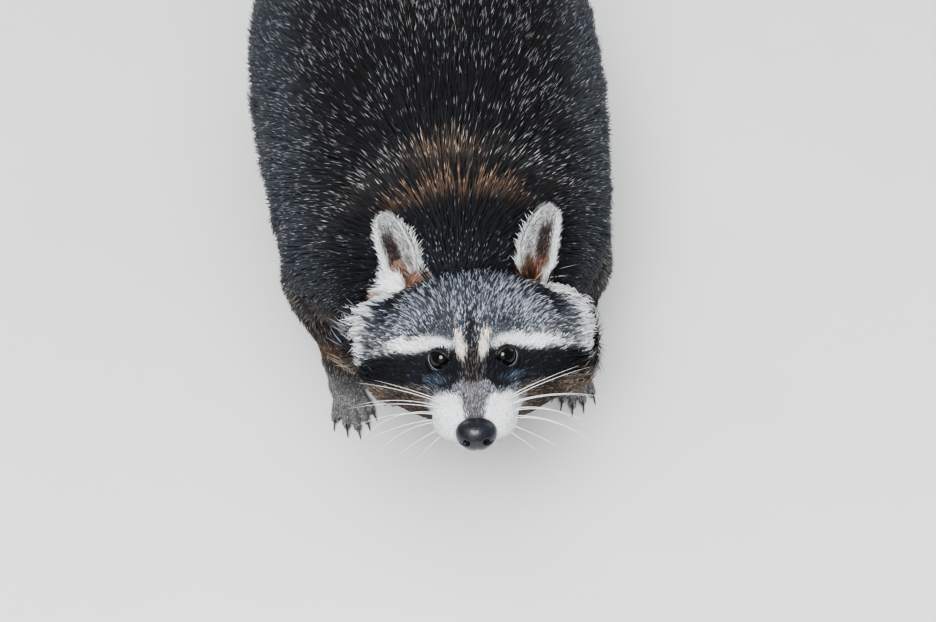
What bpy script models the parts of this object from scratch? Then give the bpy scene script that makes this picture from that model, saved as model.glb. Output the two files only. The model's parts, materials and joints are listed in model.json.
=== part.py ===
"""A life-size raccoon standing on all fours with its face turned up, as closed solids.

Metres, +Z up, the nose towards -Y and the tail towards +Y. The animal's left is +X.
Tables are in millimetres and MM turns them into metres. The origin ends up on the floor,
in the middle of the model's box.
"""

import math
import random

import bmesh
import bpy
import numpy as np
from mathutils import Matrix, Vector
from mathutils.bvhtree import BVHTree

MM = 0.001
GAP = 0.3

# The head's own frame has its origin midway between the eyes, -Y out along the muzzle.
EYE_POINT = (4, 0, 175)
HEAD_PITCH = 25.3
HEAD_YAW = 5.8
HEAD_ROLL = 3.1

EYE_CENTRE = (19.5, 2.0, 3.2)
EYE_RADIUS = 9.3
LID_THICKNESS = 1.5
LID_OPENING = (8.6, 7.7)
# The eyes face outwards by this angle, and a little up.
GAZE_OUT = 24
GAZE_UP = 0.08

# The nose pad narrows downwards. Its nostrils are placed from its centre, and the slits at
# their outer sides from the nostrils.
NOSE_CENTRE = (0.5, -58, -23.2)
NOSE_HALF = (13.0, 9.5, 10.4)
NOSE_TAPER = 0.28
NOSTRIL_PLACE = (6.2, -8, -1.5)
NOSTRIL_HALF = (2.2, 5, 2.7)
SLIT_PLACE = (3.0, 1.0, -1.2)
SLIT_HALF = (3.6, 3.4, 1.1)

# Each ear is an oval leaf along a line from base to tip, with a narrower stem below it.
EAR_BASE = (45, 57, 22)
EAR_TIP = (56, 66, 86)
EAR_HALF_WIDTH = 14.8
EAR_WIDEST = 0.5
EAR_STEM_TOP = 0.06
EAR_STEM = 0.5
EAR_CUP = 11
EAR_LEAN = 3.5
EAR_THICKNESS = 3.2
EAR_ROOT = -0.15

# Along the muzzle from the nose back: y, half width, top, widest level, bottom.
HEAD_STATIONS = (
    (-60, 8, -15, -22, -28),
    (-56, 15, -13, -23, -31),
    (-50, 21, -10, -24, -33),
    (-40, 26, -6, -24, -34),
    (-28, 28, -2, -23, -35),
    (-16, 30, 3, -22, -38),
    (-6, 37, 11, -19, -43),
    (4, 49, 22, -16, -51),
    (16, 62, 32, -14, -56),
    (30, 70, 39, -12, -59),
    (46, 72, 42, -10, -60),
    (60, 67, 41, -8, -58),
    (74, 58, 36, -6, -55),
    (88, 47, 27, -5, -49),
)
# Swellings and hollows of the face: centre on the left side, height, spread. They push out
# from an axis this far below the eyes.
FACE_AXIS = 8
HEAD_FORMS = (
    ((17, -44, -23), 3.5, 8),
    ((21, 6, 17), 3.0, 8),
    ((24, -9, 0), -8.0, 11),
    ((46, 16, -14), 2.0, 14),
    ((0, -8, 10), -2.0, 9),
)
JAW_STATIONS = (
    (-52, 5, -30, -34, -37),
    (-48, 12, -28, -35, -42),
    (-38, 17, -28, -36, -46),
    (-24, 20, -28, -37, -49),
    (-10, 24, -30, -40, -52),
    (4, 28, -32, -42, -56),
    (14, 29, -34, -44, -57),
)

# The trunk out to the tips of its coat: y, half width, top, widest level, bottom.
TRUNK_STATIONS = (
    (46, 58, 178, 140, 96),
    (62, 76, 190, 140, 88),
    (84, 96, 201, 139, 80),
    (112, 113, 215, 138, 73),
    (165, 124, 240, 140, 66),
    (230, 131, 254, 142, 60),
    (300, 136, 262, 142, 56),
    (365, 133, 260, 142, 60),
    (420, 118, 246, 146, 78),
    (462, 88, 222, 156, 106),
    (486, 52, 200, 166, 136),
)
NECK_PLANE = ((0, 120, 140), (0, 1, 0.12))
HEAD_PLANE = ((0, 68, 140), (0, 1, -0.45))
TRUNK_POWER = 2.25
HEAD_POWER = 2.3
JAW_POWER = 2.3

# The long coat: a dense core at half its depth, and flat locks from in the core to the tips.
COAT_DEPTH = 12
SEED = 27
# A lock that would run into a neighbour is tried again at these shares of its length.
LOCK_TRIES = (1.0, 0.75, 0.55)
# A lock along its length: share of the length, depth as a share of the coat's, width and
# thickness as shares of its own.
LOCK_SHAPE = ((0.0, 1.6, 0.75, 1.0), (0.38, 0.66, 1.0, 0.95), (0.72, 0.14, 0.72, 0.6))
# Rows of locks: where the first row starts along the body and how far apart the rows are,
# how many rows and how many locks round it, then a lock's length, width and thickness.
TORSO_LOCKS = {"start": 131, "step": 45, "rows": 8, "round": 12, "size": (80, 38, 6), "drift": 0.28}
NECK_LOCKS = {"start": 79, "step": 15, "rows": 2, "round": 10, "size": (34, 32, 5), "drift": 0.1}
TAIL_LOCKS = {"start": 46, "step": 44, "rows": 6, "round": 5, "size": (68, 29, 6), "drift": 0.0}
# How far a lock's place may stray, as a share of the step to the next, and its size.
LOCK_STRAY = 0.12
# The ruff of the cheeks stands out from the head, where the face is not: angles in degrees
# from the animal's left, upwards, each row a little lower than the one before it.
RUFF_LOCKS = {"start": 24, "step": 14, "rows": 2, "size": (33, 21, 4)}
RUFF_ANGLES = (32, 11, -10, -31, -52, -73)
RUFF_ROW_DROP = 10
RUFF_STRAY = 3
# How deep the ruff's locks are rooted under their tips.
RUFF_DEPTH = 11

# The tail's middle line and the radius at the tips of its coat. The core stops one row
# short of the end and is never thinner than this radius.
TAIL_CORE_RADIUS = 4
TAIL_PATH = (
    (0, 462, 178, 30),
    (0, 505, 160, 36),
    (2, 550, 132, 42),
    (6, 600, 102, 46),
    (11, 655, 82, 46),
    (16, 705, 73, 43),
    (20, 745, 71, 33),
    (23, 770, 72, 20),
    (24, 786, 73, 7),
)

# Right foreleg and hind leg: x outwards, y, z, radius across, radius along.
FORELEG_PATH = (
    (70, 150, 150, 34, 44),
    (84, 148, 118, 34, 42),
    (88, 148, 92, 30, 34),
    (86, 142, 68, 23, 25),
    (84, 137, 46, 17, 18),
    (83, 131, 30, 14.5, 14),
)
# How far the left forefoot stands outwards and back from where the right one would be.
LEFT_FOREFOOT_SHIFT = (15, 4)
HINDLEG_PATH = (
    (66, 392, 160, 44, 62),
    (84, 386, 128, 42, 60),
    (94, 384, 98, 34, 52),
    (97, 398, 70, 25, 36),
    (96, 418, 46, 18, 22),
    (95, 428, 31, 16, 16),
)
# Feet: half palm width, palm length, palm height and how far the foot turns out.
FOREFOOT = {"palm": (14, 36, 11), "turn": -9, "toe": 3.7, "claw": 7}
HINDFOOT = {"palm": (17, 76, 12), "turn": 5, "toe": 4.3, "claw": 8}
# Each toe: angle from the foot's line, where it leaves the palm across, and its length.
FORE_TOES = ((-15, -10.4, 15), (-7, -5.6, 21), (0, -0.2, 24), (7, 5.2, 22), (18, 10.4, 16))
HIND_TOES = ((-22, -12.5, 17), (-9, -7, 23), (0, -0.5, 25), (9, 6, 23), (20, 12.5, 17))
# The middle line of a toe: share of its length, height over its pad, thickness; and of the
# claw beyond it: share of the claw's length, drop, thickness.
TOE_FORM = ((-0.3, 1, 1), (0.3, 2.4, 1), (0.7, 1.2, 0.95), (1, 0, 0.6))
CLAW_FORM = ((0.1, 0.2, 0.36), (1, 1.9, 0.06))
CLAW_LIFT = 1.4
# The palm is a flattened ball: its half length and its middle and half height as shares of
# the palm's own sizes. The ankle sinks into it behind.
PALM_LENGTH = 0.62
PALM_MIDDLE = 0.72
PALM_HEIGHT = 0.8
HEEL_BACK = 2
TOE_ROOTS_BACK = 4
TOE_FAN = 0.35

# How finely each solid is made: rows along it and sides round it.
HEAD_MESH = (24, 24)
JAW_MESH = (9, 14)
TRUNK_MESH = (16, 20)
TAIL_MESH = (12, 10)
LEG_MESH = (10, 12)
EAR_MESH = (8, 6)
TOE_SIDES = 6
ANKLE_SIDES = 10
SMOOTH_ROWS = 200

FUR_GREY = (0.11, 0.105, 0.105)
FUR_DARK = (0.035, 0.035, 0.038)
FUR_BROWN = (0.16, 0.12, 0.09)
FUR_PALE = (0.55, 0.53, 0.50)
NOSE_BLACK = (0.02, 0.021, 0.024)
EYE_BROWN = (0.012, 0.009, 0.007)


def clear_scene():
    """Remove what the start-up file holds."""
    for obj in list(bpy.data.objects):
        bpy.data.objects.remove(obj, do_unlink=True)


def material(name, colour, roughness):
    """A plain principled finish."""
    made = bpy.data.materials.new(name)
    made.use_nodes = True
    shader = made.node_tree.nodes["Principled BSDF"]
    shader.inputs["Base Color"].default_value = (*colour, 1.0)
    shader.inputs["Roughness"].default_value = roughness
    shader.inputs["Metallic"].default_value = 0.0
    return made


def collection(name, rendered):
    """A collection in the scene."""
    made = bpy.data.collections.new(name)
    made.hide_render = not rendered
    bpy.context.scene.collection.children.link(made)
    return made


def add_object(name, mesh, home):
    """An object with this mesh, in the collection home."""
    obj = bpy.data.objects.new(name, mesh)
    home.objects.link(obj)
    return obj


def mesh_of(name, bm):
    """A mesh from a bmesh, with its faces turned outwards."""
    bmesh.ops.recalc_face_normals(bm, faces=bm.faces)
    if bm.calc_volume(signed=True) < 0:
        bmesh.ops.reverse_faces(bm, faces=bm.faces)
    mesh = bpy.data.meshes.new(name)
    bm.to_mesh(mesh)
    bm.free()
    return mesh


def loft(name, rings, home):
    """A closed solid through rings of equally many points, closed flat at each end."""
    bm = bmesh.new()
    loops = [[bm.verts.new(Vector(point) * MM) for point in ring] for ring in rings]
    count = len(loops[0])
    for near, far in zip(loops, loops[1:]):
        for i in range(count):
            j = (i + 1) % count
            bm.faces.new((near[i], near[j], far[j], far[i]))
    for loop in (loops[0], loops[-1]):
        bm.faces.new(loop)
    bmesh.ops.triangulate(bm, faces=bm.faces)
    return add_object(name, mesh_of(name, bm), home)


def spline_rows(rows, count):
    """Rows read at count evenly spaced steps from a smooth curve through the given rows."""
    rows = np.array(rows, float)
    padded = np.vstack((2 * rows[0] - rows[1], rows, 2 * rows[-1] - rows[-2]))
    found = []
    for step in np.linspace(0, len(rows) - 1, count):
        k = min(int(step), len(rows) - 2)
        t = step - k
        a, b, c, d = padded[k : k + 4]
        slope_b, slope_c = (c - a) / 2, (d - b) / 2
        found.append(
            b * (2 * t**3 - 3 * t**2 + 1)
            + slope_b * (t**3 - 2 * t**2 + t)
            + c * (3 * t**2 - 2 * t**3)
            + slope_c * (t**3 - t**2)
        )
    return np.array(found)


def station_point(station, angle, power, inset=0.0):
    """A point of the section at one station: a rounded egg, widest at its own level."""
    y, half_width, top, level, bottom = station
    across = math.copysign(abs(math.cos(angle)) ** (2 / power), math.cos(angle))
    up = math.copysign(abs(math.sin(angle)) ** (2 / power), math.sin(angle))
    reach = top - level if up > 0 else level - bottom
    return Vector(((half_width - inset) * across, y, level + (reach - inset) * up))


def station_ring(station, sides, power, inset=0.0):
    """The whole section at one station."""
    return [
        station_point(station, 2 * math.pi * i / sides, power, inset) for i in range(sides)
    ]


def station_surface(stations, power):
    """A function from place along the stations, angle and depth to a point."""
    table = spline_rows(stations, SMOOTH_ROWS)

    def surface(along, angle, inset):
        station = [along, *(np.interp(along, table[:, 0], table[:, k]) for k in range(1, 5))]
        return station_point(station, angle, power, inset)

    return surface


def tube_rings(path, sides):
    """Rings square to a path of rows x, y, z, radius across, radius along."""
    rows = np.array(path, float)
    points = [Vector(row[:3]) for row in rows]
    rings = []
    for k, row in enumerate(rows):
        ahead = points[min(k + 1, len(points) - 1)] - points[max(k - 1, 0)]
        ahead.normalize()
        across = Vector((1, 0, 0)) - ahead * ahead.x
        if across.length < 0.2:
            across = Vector((0, 1, 0)) - ahead * ahead.y
        across.normalize()
        along = ahead.cross(across)
        wide, deep = row[3], row[-1]
        rings.append(
            [
                points[k]
                + across * (wide * math.cos(2 * math.pi * i / sides))
                + along * (deep * math.sin(2 * math.pi * i / sides))
                for i in range(sides)
            ]
        )
    return rings


def tube_surface(path):
    """A function from distance along a path, angle and depth to a point of its tube."""
    table = spline_rows(path, SMOOTH_ROWS)
    steps = np.linalg.norm(np.diff(table[:, :3], axis=0), axis=1)
    distance = np.concatenate(([0], np.cumsum(steps)))

    def middle(along):
        return Vector([float(np.interp(along, distance, table[:, k])) for k in range(3)])

    def surface(along, angle, inset):
        ahead = (middle(along + 2) - middle(along - 2)).normalized()
        across = (Vector((1, 0, 0)) - ahead * ahead.x).normalized()
        radius = float(np.interp(along, distance, table[:, 3])) - inset
        beyond = max(along - distance[-1], 0)
        round_ = across * math.cos(angle) + across.cross(ahead) * math.sin(angle)
        return middle(along) + ahead * beyond + round_ * max(radius, 1)

    return surface


def lock(surface, along, angle, size, drift, depth):
    """A flat tapered lock that bends out of the core and lies along the coat, as a bmesh."""
    length, width, thickness = size

    def spine(share, inset):
        return surface(along + length * share, angle + drift * share, inset)

    rings = []
    for share, deep, wide, thick in LOCK_SHAPE:
        point = spine(share, deep * depth)
        turn = angle + drift * share
        ahead = spine(share + 0.05, deep * depth) - point
        across = surface(along + length * share, turn + 0.05, deep * depth) - point
        across = (across - ahead * (across.dot(ahead) / ahead.length_squared)).normalized()
        out = across.cross(ahead).normalized()
        across, out = across * (width * wide / 2), out * (thickness * thick)
        rings.append((point + across, point + out, point - across))
    bm = bmesh.new()
    loops = [[bm.verts.new(point * MM) for point in ring] for ring in rings]
    tip = bm.verts.new(spine(1.0, 0.0) * MM)
    bm.faces.new(loops[0])
    for near, far in zip(loops, loops[1:]):
        for i in range(3):
            bm.faces.new((near[i], near[(i + 1) % 3], far[(i + 1) % 3], far[i]))
    for i in range(3):
        bm.faces.new((loops[-1][i], loops[-1][(i + 1) % 3], tip))
    bmesh.ops.triangulate(bm, faces=bm.faces)
    return bm


def surface_trees(others, cutters):
    """Search trees of these solids, each grown by more than the gap that they need."""
    trees = []
    for other in others:
        grown = copy_of(other, cutters, 2 * GAP)
        points = [vert.co for vert in grown.data.vertices]
        faces = [list(face.vertices) for face in grown.data.polygons]
        trees.append(BVHTree.FromPolygons(points, faces))
        bpy.data.objects.remove(grown, do_unlink=True)
    return trees


def plant_lock(place, size, trees, home, matrix=Matrix.Identity(4)):
    """Add the longest lock at this place that stays clear of the trees, if any does."""
    surface, along, angle, drift, depth = place
    for share in LOCK_TRIES:
        bm = lock(surface, along, angle, (size[0] * share, *size[1:]), drift * share, depth)
        bm.transform(matrix)
        own = BVHTree.FromBMesh(bm)
        if not any(own.overlap(tree) for tree in trees):
            add_object("lock", mesh_of("lock", bm), home)
            return
        bm.free()


def fuse_locks(obj, locks):
    """Fuse a collection of locks to their core."""
    combine(obj, locks, "UNION", "MANIFOLD")
    keep_largest(obj)


def plant_rows(obj, surface, plan, others, cutters, rng):
    """Fuse staggered rows of locks to a core, each a little different from the next."""
    locks = collection(obj.name + "_locks", False)
    trees = surface_trees(others, cutters)
    for row in range(plan["rows"]):
        for k in range(plan["round"]):
            stray = [rng.uniform(-LOCK_STRAY, LOCK_STRAY) for _ in range(3)]
            turn = 2 * math.pi * (k + 0.5 * (row % 2) + stray[0]) / plan["round"]
            along = plan["start"] + plan["step"] * (row + stray[1])
            grow = 1 + stray[2]
            length, width, thickness = plan["size"]
            drift = -plan["drift"] * math.cos(turn)
            place = (surface, along, turn, drift, COAT_DEPTH)
            plant_lock(place, (length * grow, width * grow, thickness), trees, locks)
    fuse_locks(obj, locks)


def ball(name, centre, halves, home, segments=16, turn=Matrix.Identity(4)):
    """An ellipsoid with these half sizes."""
    bm = bmesh.new()
    bmesh.ops.create_uvsphere(
        bm, u_segments=segments, v_segments=segments * 3 // 4, radius=MM
    )
    place = Matrix.Translation(Vector(centre) * MM) @ turn @ Matrix.Diagonal((*halves, 1))
    bm.transform(place)
    return add_object(name, mesh_of(name, bm), home)


def block(point, normal, home, size=1200):
    """A large cube whose one face lies in the plane at point, on the side normal points to."""
    bm = bmesh.new()
    bmesh.ops.create_cube(bm, size=size * MM)
    turn = Vector(normal).to_track_quat("Z", "Y").to_matrix().to_4x4()
    lift = Matrix.Translation((0, 0, size * MM / 2))
    bm.transform(Matrix.Translation(Vector(point) * MM) @ turn @ lift)
    return add_object("block", mesh_of("block", bm), home)


def apply_modifiers(obj):
    """Replace an object's mesh by what its modifiers make of it."""
    graph = bpy.context.evaluated_depsgraph_get()
    mesh = bpy.data.meshes.new_from_object(obj.evaluated_get(graph))
    obj.modifiers.clear()
    obj.data = mesh


def combine(obj, other, operation, solver="EXACT"):
    """Boolean of obj with another object or with a collection, whose objects are then removed."""
    modifier = obj.modifiers.new("combine", "BOOLEAN")
    modifier.operation = operation
    modifier.solver = solver
    if isinstance(other, bpy.types.Collection):
        modifier.operand_type = "COLLECTION"
        modifier.collection = other
        used = list(other.objects)
    else:
        modifier.object = other
        used = [other]
    bpy.context.view_layer.update()
    apply_modifiers(obj)
    for item in used:
        bpy.data.objects.remove(item, do_unlink=True)


def copy_of(obj, home, grow=0.0):
    """A copy of obj, its surface moved outwards by grow millimetres."""
    made = add_object(obj.name + "_copy", obj.data.copy(), home)
    if grow:
        modifier = made.modifiers.new("grow", "DISPLACE")
        modifier.strength = grow * MM
        modifier.mid_level = 0.0
        bpy.context.view_layer.update()
        apply_modifiers(made)
    return made


def keep_largest(obj):
    """Leave only the largest closed surface of a mesh."""
    bm = bmesh.new()
    bm.from_mesh(obj.data)
    bmesh.ops.triangulate(bm, faces=bm.faces)
    seen, groups = set(), []
    for start in bm.faces:
        if start in seen:
            continue
        seen.add(start)
        group, queue = [], [start]
        while queue:
            face = queue.pop()
            group.append(face)
            for edge in face.edges:
                for other in edge.link_faces:
                    if other not in seen:
                        seen.add(other)
                        queue.append(other)
        groups.append(group)
    largest = max(groups, key=lambda group: sum(face.calc_area() for face in group))
    dropped = [face for group in groups if group is not largest for face in group]
    bmesh.ops.delete(bm, geom=dropped, context="FACES")
    bm.to_mesh(obj.data)
    bm.free()


def head_matrix():
    """From the head's own frame in millimetres to the model's in metres."""
    turn = (
        Matrix.Rotation(-math.radians(HEAD_YAW), 4, "Z")
        @ Matrix.Rotation(-math.radians(HEAD_PITCH), 4, "X")
        @ Matrix.Rotation(-math.radians(HEAD_ROLL), 4, "Y")
    )
    return Matrix.Translation(Vector(EYE_POINT) * MM) @ turn


def to_head(obj):
    """Move a piece built in the head's frame to its place."""
    obj.data.transform(head_matrix())
    return obj


def shape_face(rings):
    """Raise and hollow the head's rings by the face's named forms, out from its long axis."""
    shaped = []
    for ring in rings:
        points = []
        for x, y, z in ring:
            out = Vector((x, 0, z + FACE_AXIS)).normalized()
            push = 0.0
            for (cx, cy, cz), height, spread in HEAD_FORMS:
                for side in (-1, 1) if cx else (1,):
                    far = (x - side * cx) ** 2 + (y - cy) ** 2 + (z - cz) ** 2
                    push += height * math.exp(-far / (2 * spread**2))
            points.append((x + out.x * push, y, z + out.z * push))
        shaped.append(points)
    return shaped


def on_side(place, side):
    """A place given for the left side, on the left or the right."""
    return Vector((side * place[0], *place[1:]))


def gaze(side):
    """Which way an eye faces, in the head's frame."""
    out = math.radians(GAZE_OUT)
    return Vector((side * math.sin(out), -math.cos(out), GAZE_UP)).normalized()


def build_head(home, cutters):
    """Skull and muzzle with lids round the eye sockets; returned before it meets the neck."""
    rows, sides = HEAD_MESH
    rings = [station_ring(row, sides, HEAD_POWER) for row in spline_rows(HEAD_STATIONS, rows)]
    head = loft("head", shape_face(rings), home)
    for side in (-1, 1):
        centre = on_side(EYE_CENTRE, side)
        turn = gaze(side).to_track_quat("Z", "Y").to_matrix().to_4x4()
        outer = EYE_RADIUS + LID_THICKNESS
        combine(head, ball("lid", centre, (outer,) * 3, cutters, 16), "UNION")
        inner = EYE_RADIUS + GAP
        combine(head, ball("socket", centre, (inner,) * 3, cutters, 16), "DIFFERENCE")
        opening = (LID_OPENING[0], LID_OPENING[1], EYE_RADIUS)
        front = centre + gaze(side) * EYE_RADIUS
        combine(
            head, ball("opening", front, opening, cutters, 14, turn), "DIFFERENCE"
        )
    return to_head(head)


def build_eye(side, name, home):
    """An eyeball in its socket."""
    return to_head(ball(name, on_side(EYE_CENTRE, side), (EYE_RADIUS,) * 3, home, 14))


def build_nose(home, cutters, head):
    """The nose pad with its two nostrils, seated on the muzzle."""
    nose = ball("nose", NOSE_CENTRE, NOSE_HALF, home, 13)
    for vert in nose.data.vertices:
        drop = (NOSE_CENTRE[2] - vert.co.z / MM) / NOSE_HALF[2]
        vert.co.x *= 1 - NOSE_TAPER * max(drop, 0)
    for side in (-1, 1):
        nostril = Vector(NOSE_CENTRE) + on_side(NOSTRIL_PLACE, side)
        combine(nose, ball("nostril", nostril, NOSTRIL_HALF, cutters, 9), "DIFFERENCE")
        slit = nostril + on_side(SLIT_PLACE, side)
        combine(nose, ball("slit", slit, SLIT_HALF, cutters, 8), "DIFFERENCE")
    to_head(nose)
    combine(nose, copy_of(head, cutters, GAP), "DIFFERENCE")
    keep_largest(nose)
    return nose


def build_jaw(home, cutters, head):
    """The lower jaw, parted from the muzzle along the line of the mouth."""
    rows, sides = JAW_MESH
    rings = [station_ring(row, sides, JAW_POWER) for row in spline_rows(JAW_STATIONS, rows)]
    jaw = to_head(loft("lower_jaw", rings, home))
    combine(jaw, copy_of(head, cutters, GAP), "DIFFERENCE")
    keep_largest(jaw)
    return jaw


def ear_point(side, across, rise):
    """A point of the ear's leaf: across from -1 to 1, rise from 0 at the root to 1."""
    base = on_side(EAR_BASE, side)
    up = on_side(EAR_TIP, side) - base
    outwards = Vector((side, 0.15, 0)).normalized()
    back = outwards.cross(up).normalized() * (1 if side < 0 else -1)
    if back.y < 0:
        back = -back
    if rise > EAR_WIDEST:
        share = math.sqrt(max(1 - ((rise - EAR_WIDEST) / (1.01 - EAR_WIDEST)) ** 2, 0))
    else:
        fall = (EAR_WIDEST - rise) / (EAR_WIDEST - EAR_STEM_TOP)
        share = math.sqrt(max(1 - fall**2, EAR_STEM**2))
    width = EAR_HALF_WIDTH * share
    lean = -EAR_LEAN * math.sin(math.pi * rise)
    cup = EAR_CUP * (1 - across**2) * (1 - 0.75 * rise)
    return base + up * rise + outwards * (width * across + lean) + back * cup


def build_ear(side, name, home, cutters, head):
    """A cupped ear, open to the front, rooted on the skull."""
    rows, columns = EAR_MESH
    rises = [
        EAR_ROOT + (1 - EAR_ROOT) * math.sin(math.pi / 2 * r / rows) for r in range(rows + 1)
    ]
    bm = bmesh.new()
    grid = [
        [
            bm.verts.new(ear_point(side, -1 + 2 * c / columns, rise) * MM)
            for c in range(columns + 1)
        ]
        for rise in rises
    ]
    for r in range(rows):
        for c in range(columns):
            bm.faces.new((grid[r][c], grid[r][c + 1], grid[r + 1][c + 1], grid[r + 1][c]))
    bmesh.ops.triangulate(bm, faces=bm.faces)
    ear = add_object(name, mesh_of(name, bm), home)
    shell = ear.modifiers.new("shell", "SOLIDIFY")
    shell.thickness = EAR_THICKNESS * MM
    shell.offset = 0.0
    bpy.context.view_layer.update()
    apply_modifiers(ear)
    to_head(ear)
    combine(ear, copy_of(head, cutters, GAP), "DIFFERENCE")
    keep_largest(ear)
    return ear


def build_trunk(home):
    """The core of neck and torso in one, before they are parted."""
    count, sides = TRUNK_MESH
    rows = spline_rows(TRUNK_STATIONS, count)
    rows[-1][0] -= COAT_DEPTH / 2
    rings = [station_ring(row, sides, TRUNK_POWER, COAT_DEPTH) for row in rows]
    return loft("torso", rings, home)


def plant_ruff(head, others, cutters, rng):
    """The ruff: rows of locks that stand out behind each cheek."""
    cheek = station_surface(HEAD_STATIONS, HEAD_POWER)
    locks = collection("ruff", False)
    trees = surface_trees(others, cutters)

    def surface(along, angle, inset):
        return cheek(along, angle, inset - RUFF_DEPTH)

    for row in range(RUFF_LOCKS["rows"]):
        for degrees in RUFF_ANGLES:
            for side in (1, -1):
                stray = [rng.uniform(-LOCK_STRAY, LOCK_STRAY) for _ in range(3)]
                lower = RUFF_ROW_DROP * row + RUFF_STRAY * stray[0] / LOCK_STRAY
                angle = math.radians(degrees - lower)
                turn = angle if side > 0 else math.pi - angle
                along = RUFF_LOCKS["start"] + RUFF_LOCKS["step"] * (row + stray[1])
                length, width, thickness = RUFF_LOCKS["size"]
                size = (length * (1 + stray[2]), width, thickness)
                place = (surface, along, turn, 0.0, RUFF_DEPTH)
                plant_lock(place, size, trees, locks, head_matrix())
    fuse_locks(head, locks)


def build_tail(home, cutters, torso):
    """The core of the bushy tail, hanging out behind the rump."""
    count, sides = TAIL_MESH
    rows = spline_rows(TAIL_PATH, count)[:-1]
    for row in rows:
        row[3] = max(row[3] - COAT_DEPTH, TAIL_CORE_RADIUS)
    tail = loft("tail", tube_rings(rows, sides), home)
    combine(tail, copy_of(torso, cutters, GAP), "DIFFERENCE")
    keep_largest(tail)
    return tail


def mirrored(path, side):
    """A path of the right side, whose x runs outwards, put on the given side."""
    out, back = LEFT_FOREFOOT_SHIFT if side > 0 and path is FORELEG_PATH else (0, 0)
    top, foot = path[0][2], path[-1][2]
    rows = []
    for x, y, z, *radii in path:
        share = ((top - z) / (top - foot)) ** 2
        rows.append((side * (x + out * share), y + back * share, z, *radii))
    return rows


def build_leg(name, path, side, home, cutters, trunk):
    """A leg from inside the trunk to the wrist or the hock, trimmed to the trunk's parts."""
    count, sides = LEG_MESH
    rows = spline_rows(mirrored(path, side), count)
    leg = loft(name, tube_rings(rows, sides), home)
    for solid in trunk:
        combine(leg, copy_of(solid, cutters, GAP), "DIFFERENCE")
    keep_largest(leg)
    return leg


def toe_path(start, heading, length, radius, claw):
    """A toe that arches up from the palm onto its pad, and the claw that curves down from it."""
    rows = []
    for share, lift, thick in TOE_FORM:
        point = start + heading * (length * share)
        rows.append((point.x, point.y, radius * 0.95 + lift, radius * thick, radius * thick))
    for share, drop, thick in CLAW_FORM:
        point = start + heading * (length + claw * share)
        level = radius + CLAW_LIFT - drop
        rows.append((point.x, point.y, level, radius * thick, radius * thick))
    return rows


def build_foot(name, leg_path, side, shape, toes, leg, home, cutters):
    """A foot flat on the floor: palm, ankle, toes and claws, fused, cut clear of its leg."""
    half_width, length, height = shape["palm"]
    ankle = Vector(mirrored(leg_path, side)[-1][:3])
    above = Vector(mirrored(leg_path, side)[-2][:3])
    turn = math.radians(shape["turn"]) * side
    ahead = Vector((math.sin(turn), -math.cos(turn), 0))
    across = Vector((math.cos(turn), math.sin(turn), 0))
    heel = Vector((ankle.x, ankle.y + HEEL_BACK, 0))
    middle = heel + ahead * (length / 2 - TOE_ROOTS_BACK)
    middle.z = height * PALM_MIDDLE
    halves = (half_width, length * PALM_LENGTH, height * PALM_HEIGHT)
    foot = ball(name, middle, halves, home, 12, Matrix.Rotation(turn, 4, "Z"))
    pieces = collection(name + "_pieces", False)
    radius = leg_path[-1][3]
    top = ankle.lerp(above, 0.15)
    low = Vector((ankle.x, ankle.y - 3, height * 0.6))
    stem = [(*top, radius), (*ankle.lerp(low, 0.5), radius), (*low, radius * 0.9)]
    loft("stem", tube_rings(stem, ANKLE_SIDES), pieces)
    front = heel + ahead * (length - TOE_ROOTS_BACK)
    for angle, offset, reach in toes:
        spread = math.radians(angle) * side
        heading = Matrix.Rotation(spread, 3, "Z") @ ahead
        start = front + across * (offset * side) - ahead * (abs(offset) * TOE_FAN)
        rows = toe_path(start, heading, reach, shape["toe"], shape["claw"])
        loft("toe", tube_rings(rows, TOE_SIDES), pieces)
    combine(foot, pieces, "UNION", "MANIFOLD")
    combine(foot, block((0, 0, 0), (0, 0, -1), cutters), "DIFFERENCE", "MANIFOLD")
    combine(foot, copy_of(leg, cutters, GAP), "DIFFERENCE", "MANIFOLD")
    keep_largest(foot)
    return foot


def part_with_plane(obj, name, plane, home, cutters):
    """Part a solid by a thin cut: obj keeps the far side, and the near side is a new object."""
    point, normal = Vector(plane[0]), Vector(plane[1]).normalized()
    near = copy_of(obj, home)
    near.name = name
    near.data.name = name
    combine(near, block(point - normal * GAP / 2, normal, cutters), "DIFFERENCE")
    combine(obj, block(point + normal * GAP / 2, -normal, cutters), "DIFFERENCE")
    keep_largest(near)
    keep_largest(obj)
    return near


def centre_on_floor(nodes):
    """Move everything so that the origin is on the floor under the middle of the box."""
    corners = np.array(
        [vert.co for node in nodes for vert in node.data.vertices], float
    )
    low, high = corners.min(axis=0), corners.max(axis=0)
    shift = Vector((-(low[0] + high[0]) / 2, -(low[1] + high[1]) / 2, -low[2]))
    for node in nodes:
        node.data.transform(Matrix.Translation(shift))


def dress(obj, finish):
    """Give a node its finish and smooth shading with crisp edges."""
    obj.data.materials.clear()
    obj.data.materials.append(finish)
    obj.data.shade_smooth()
    obj.data.set_sharp_from_angle(angle=math.radians(50))


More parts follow.
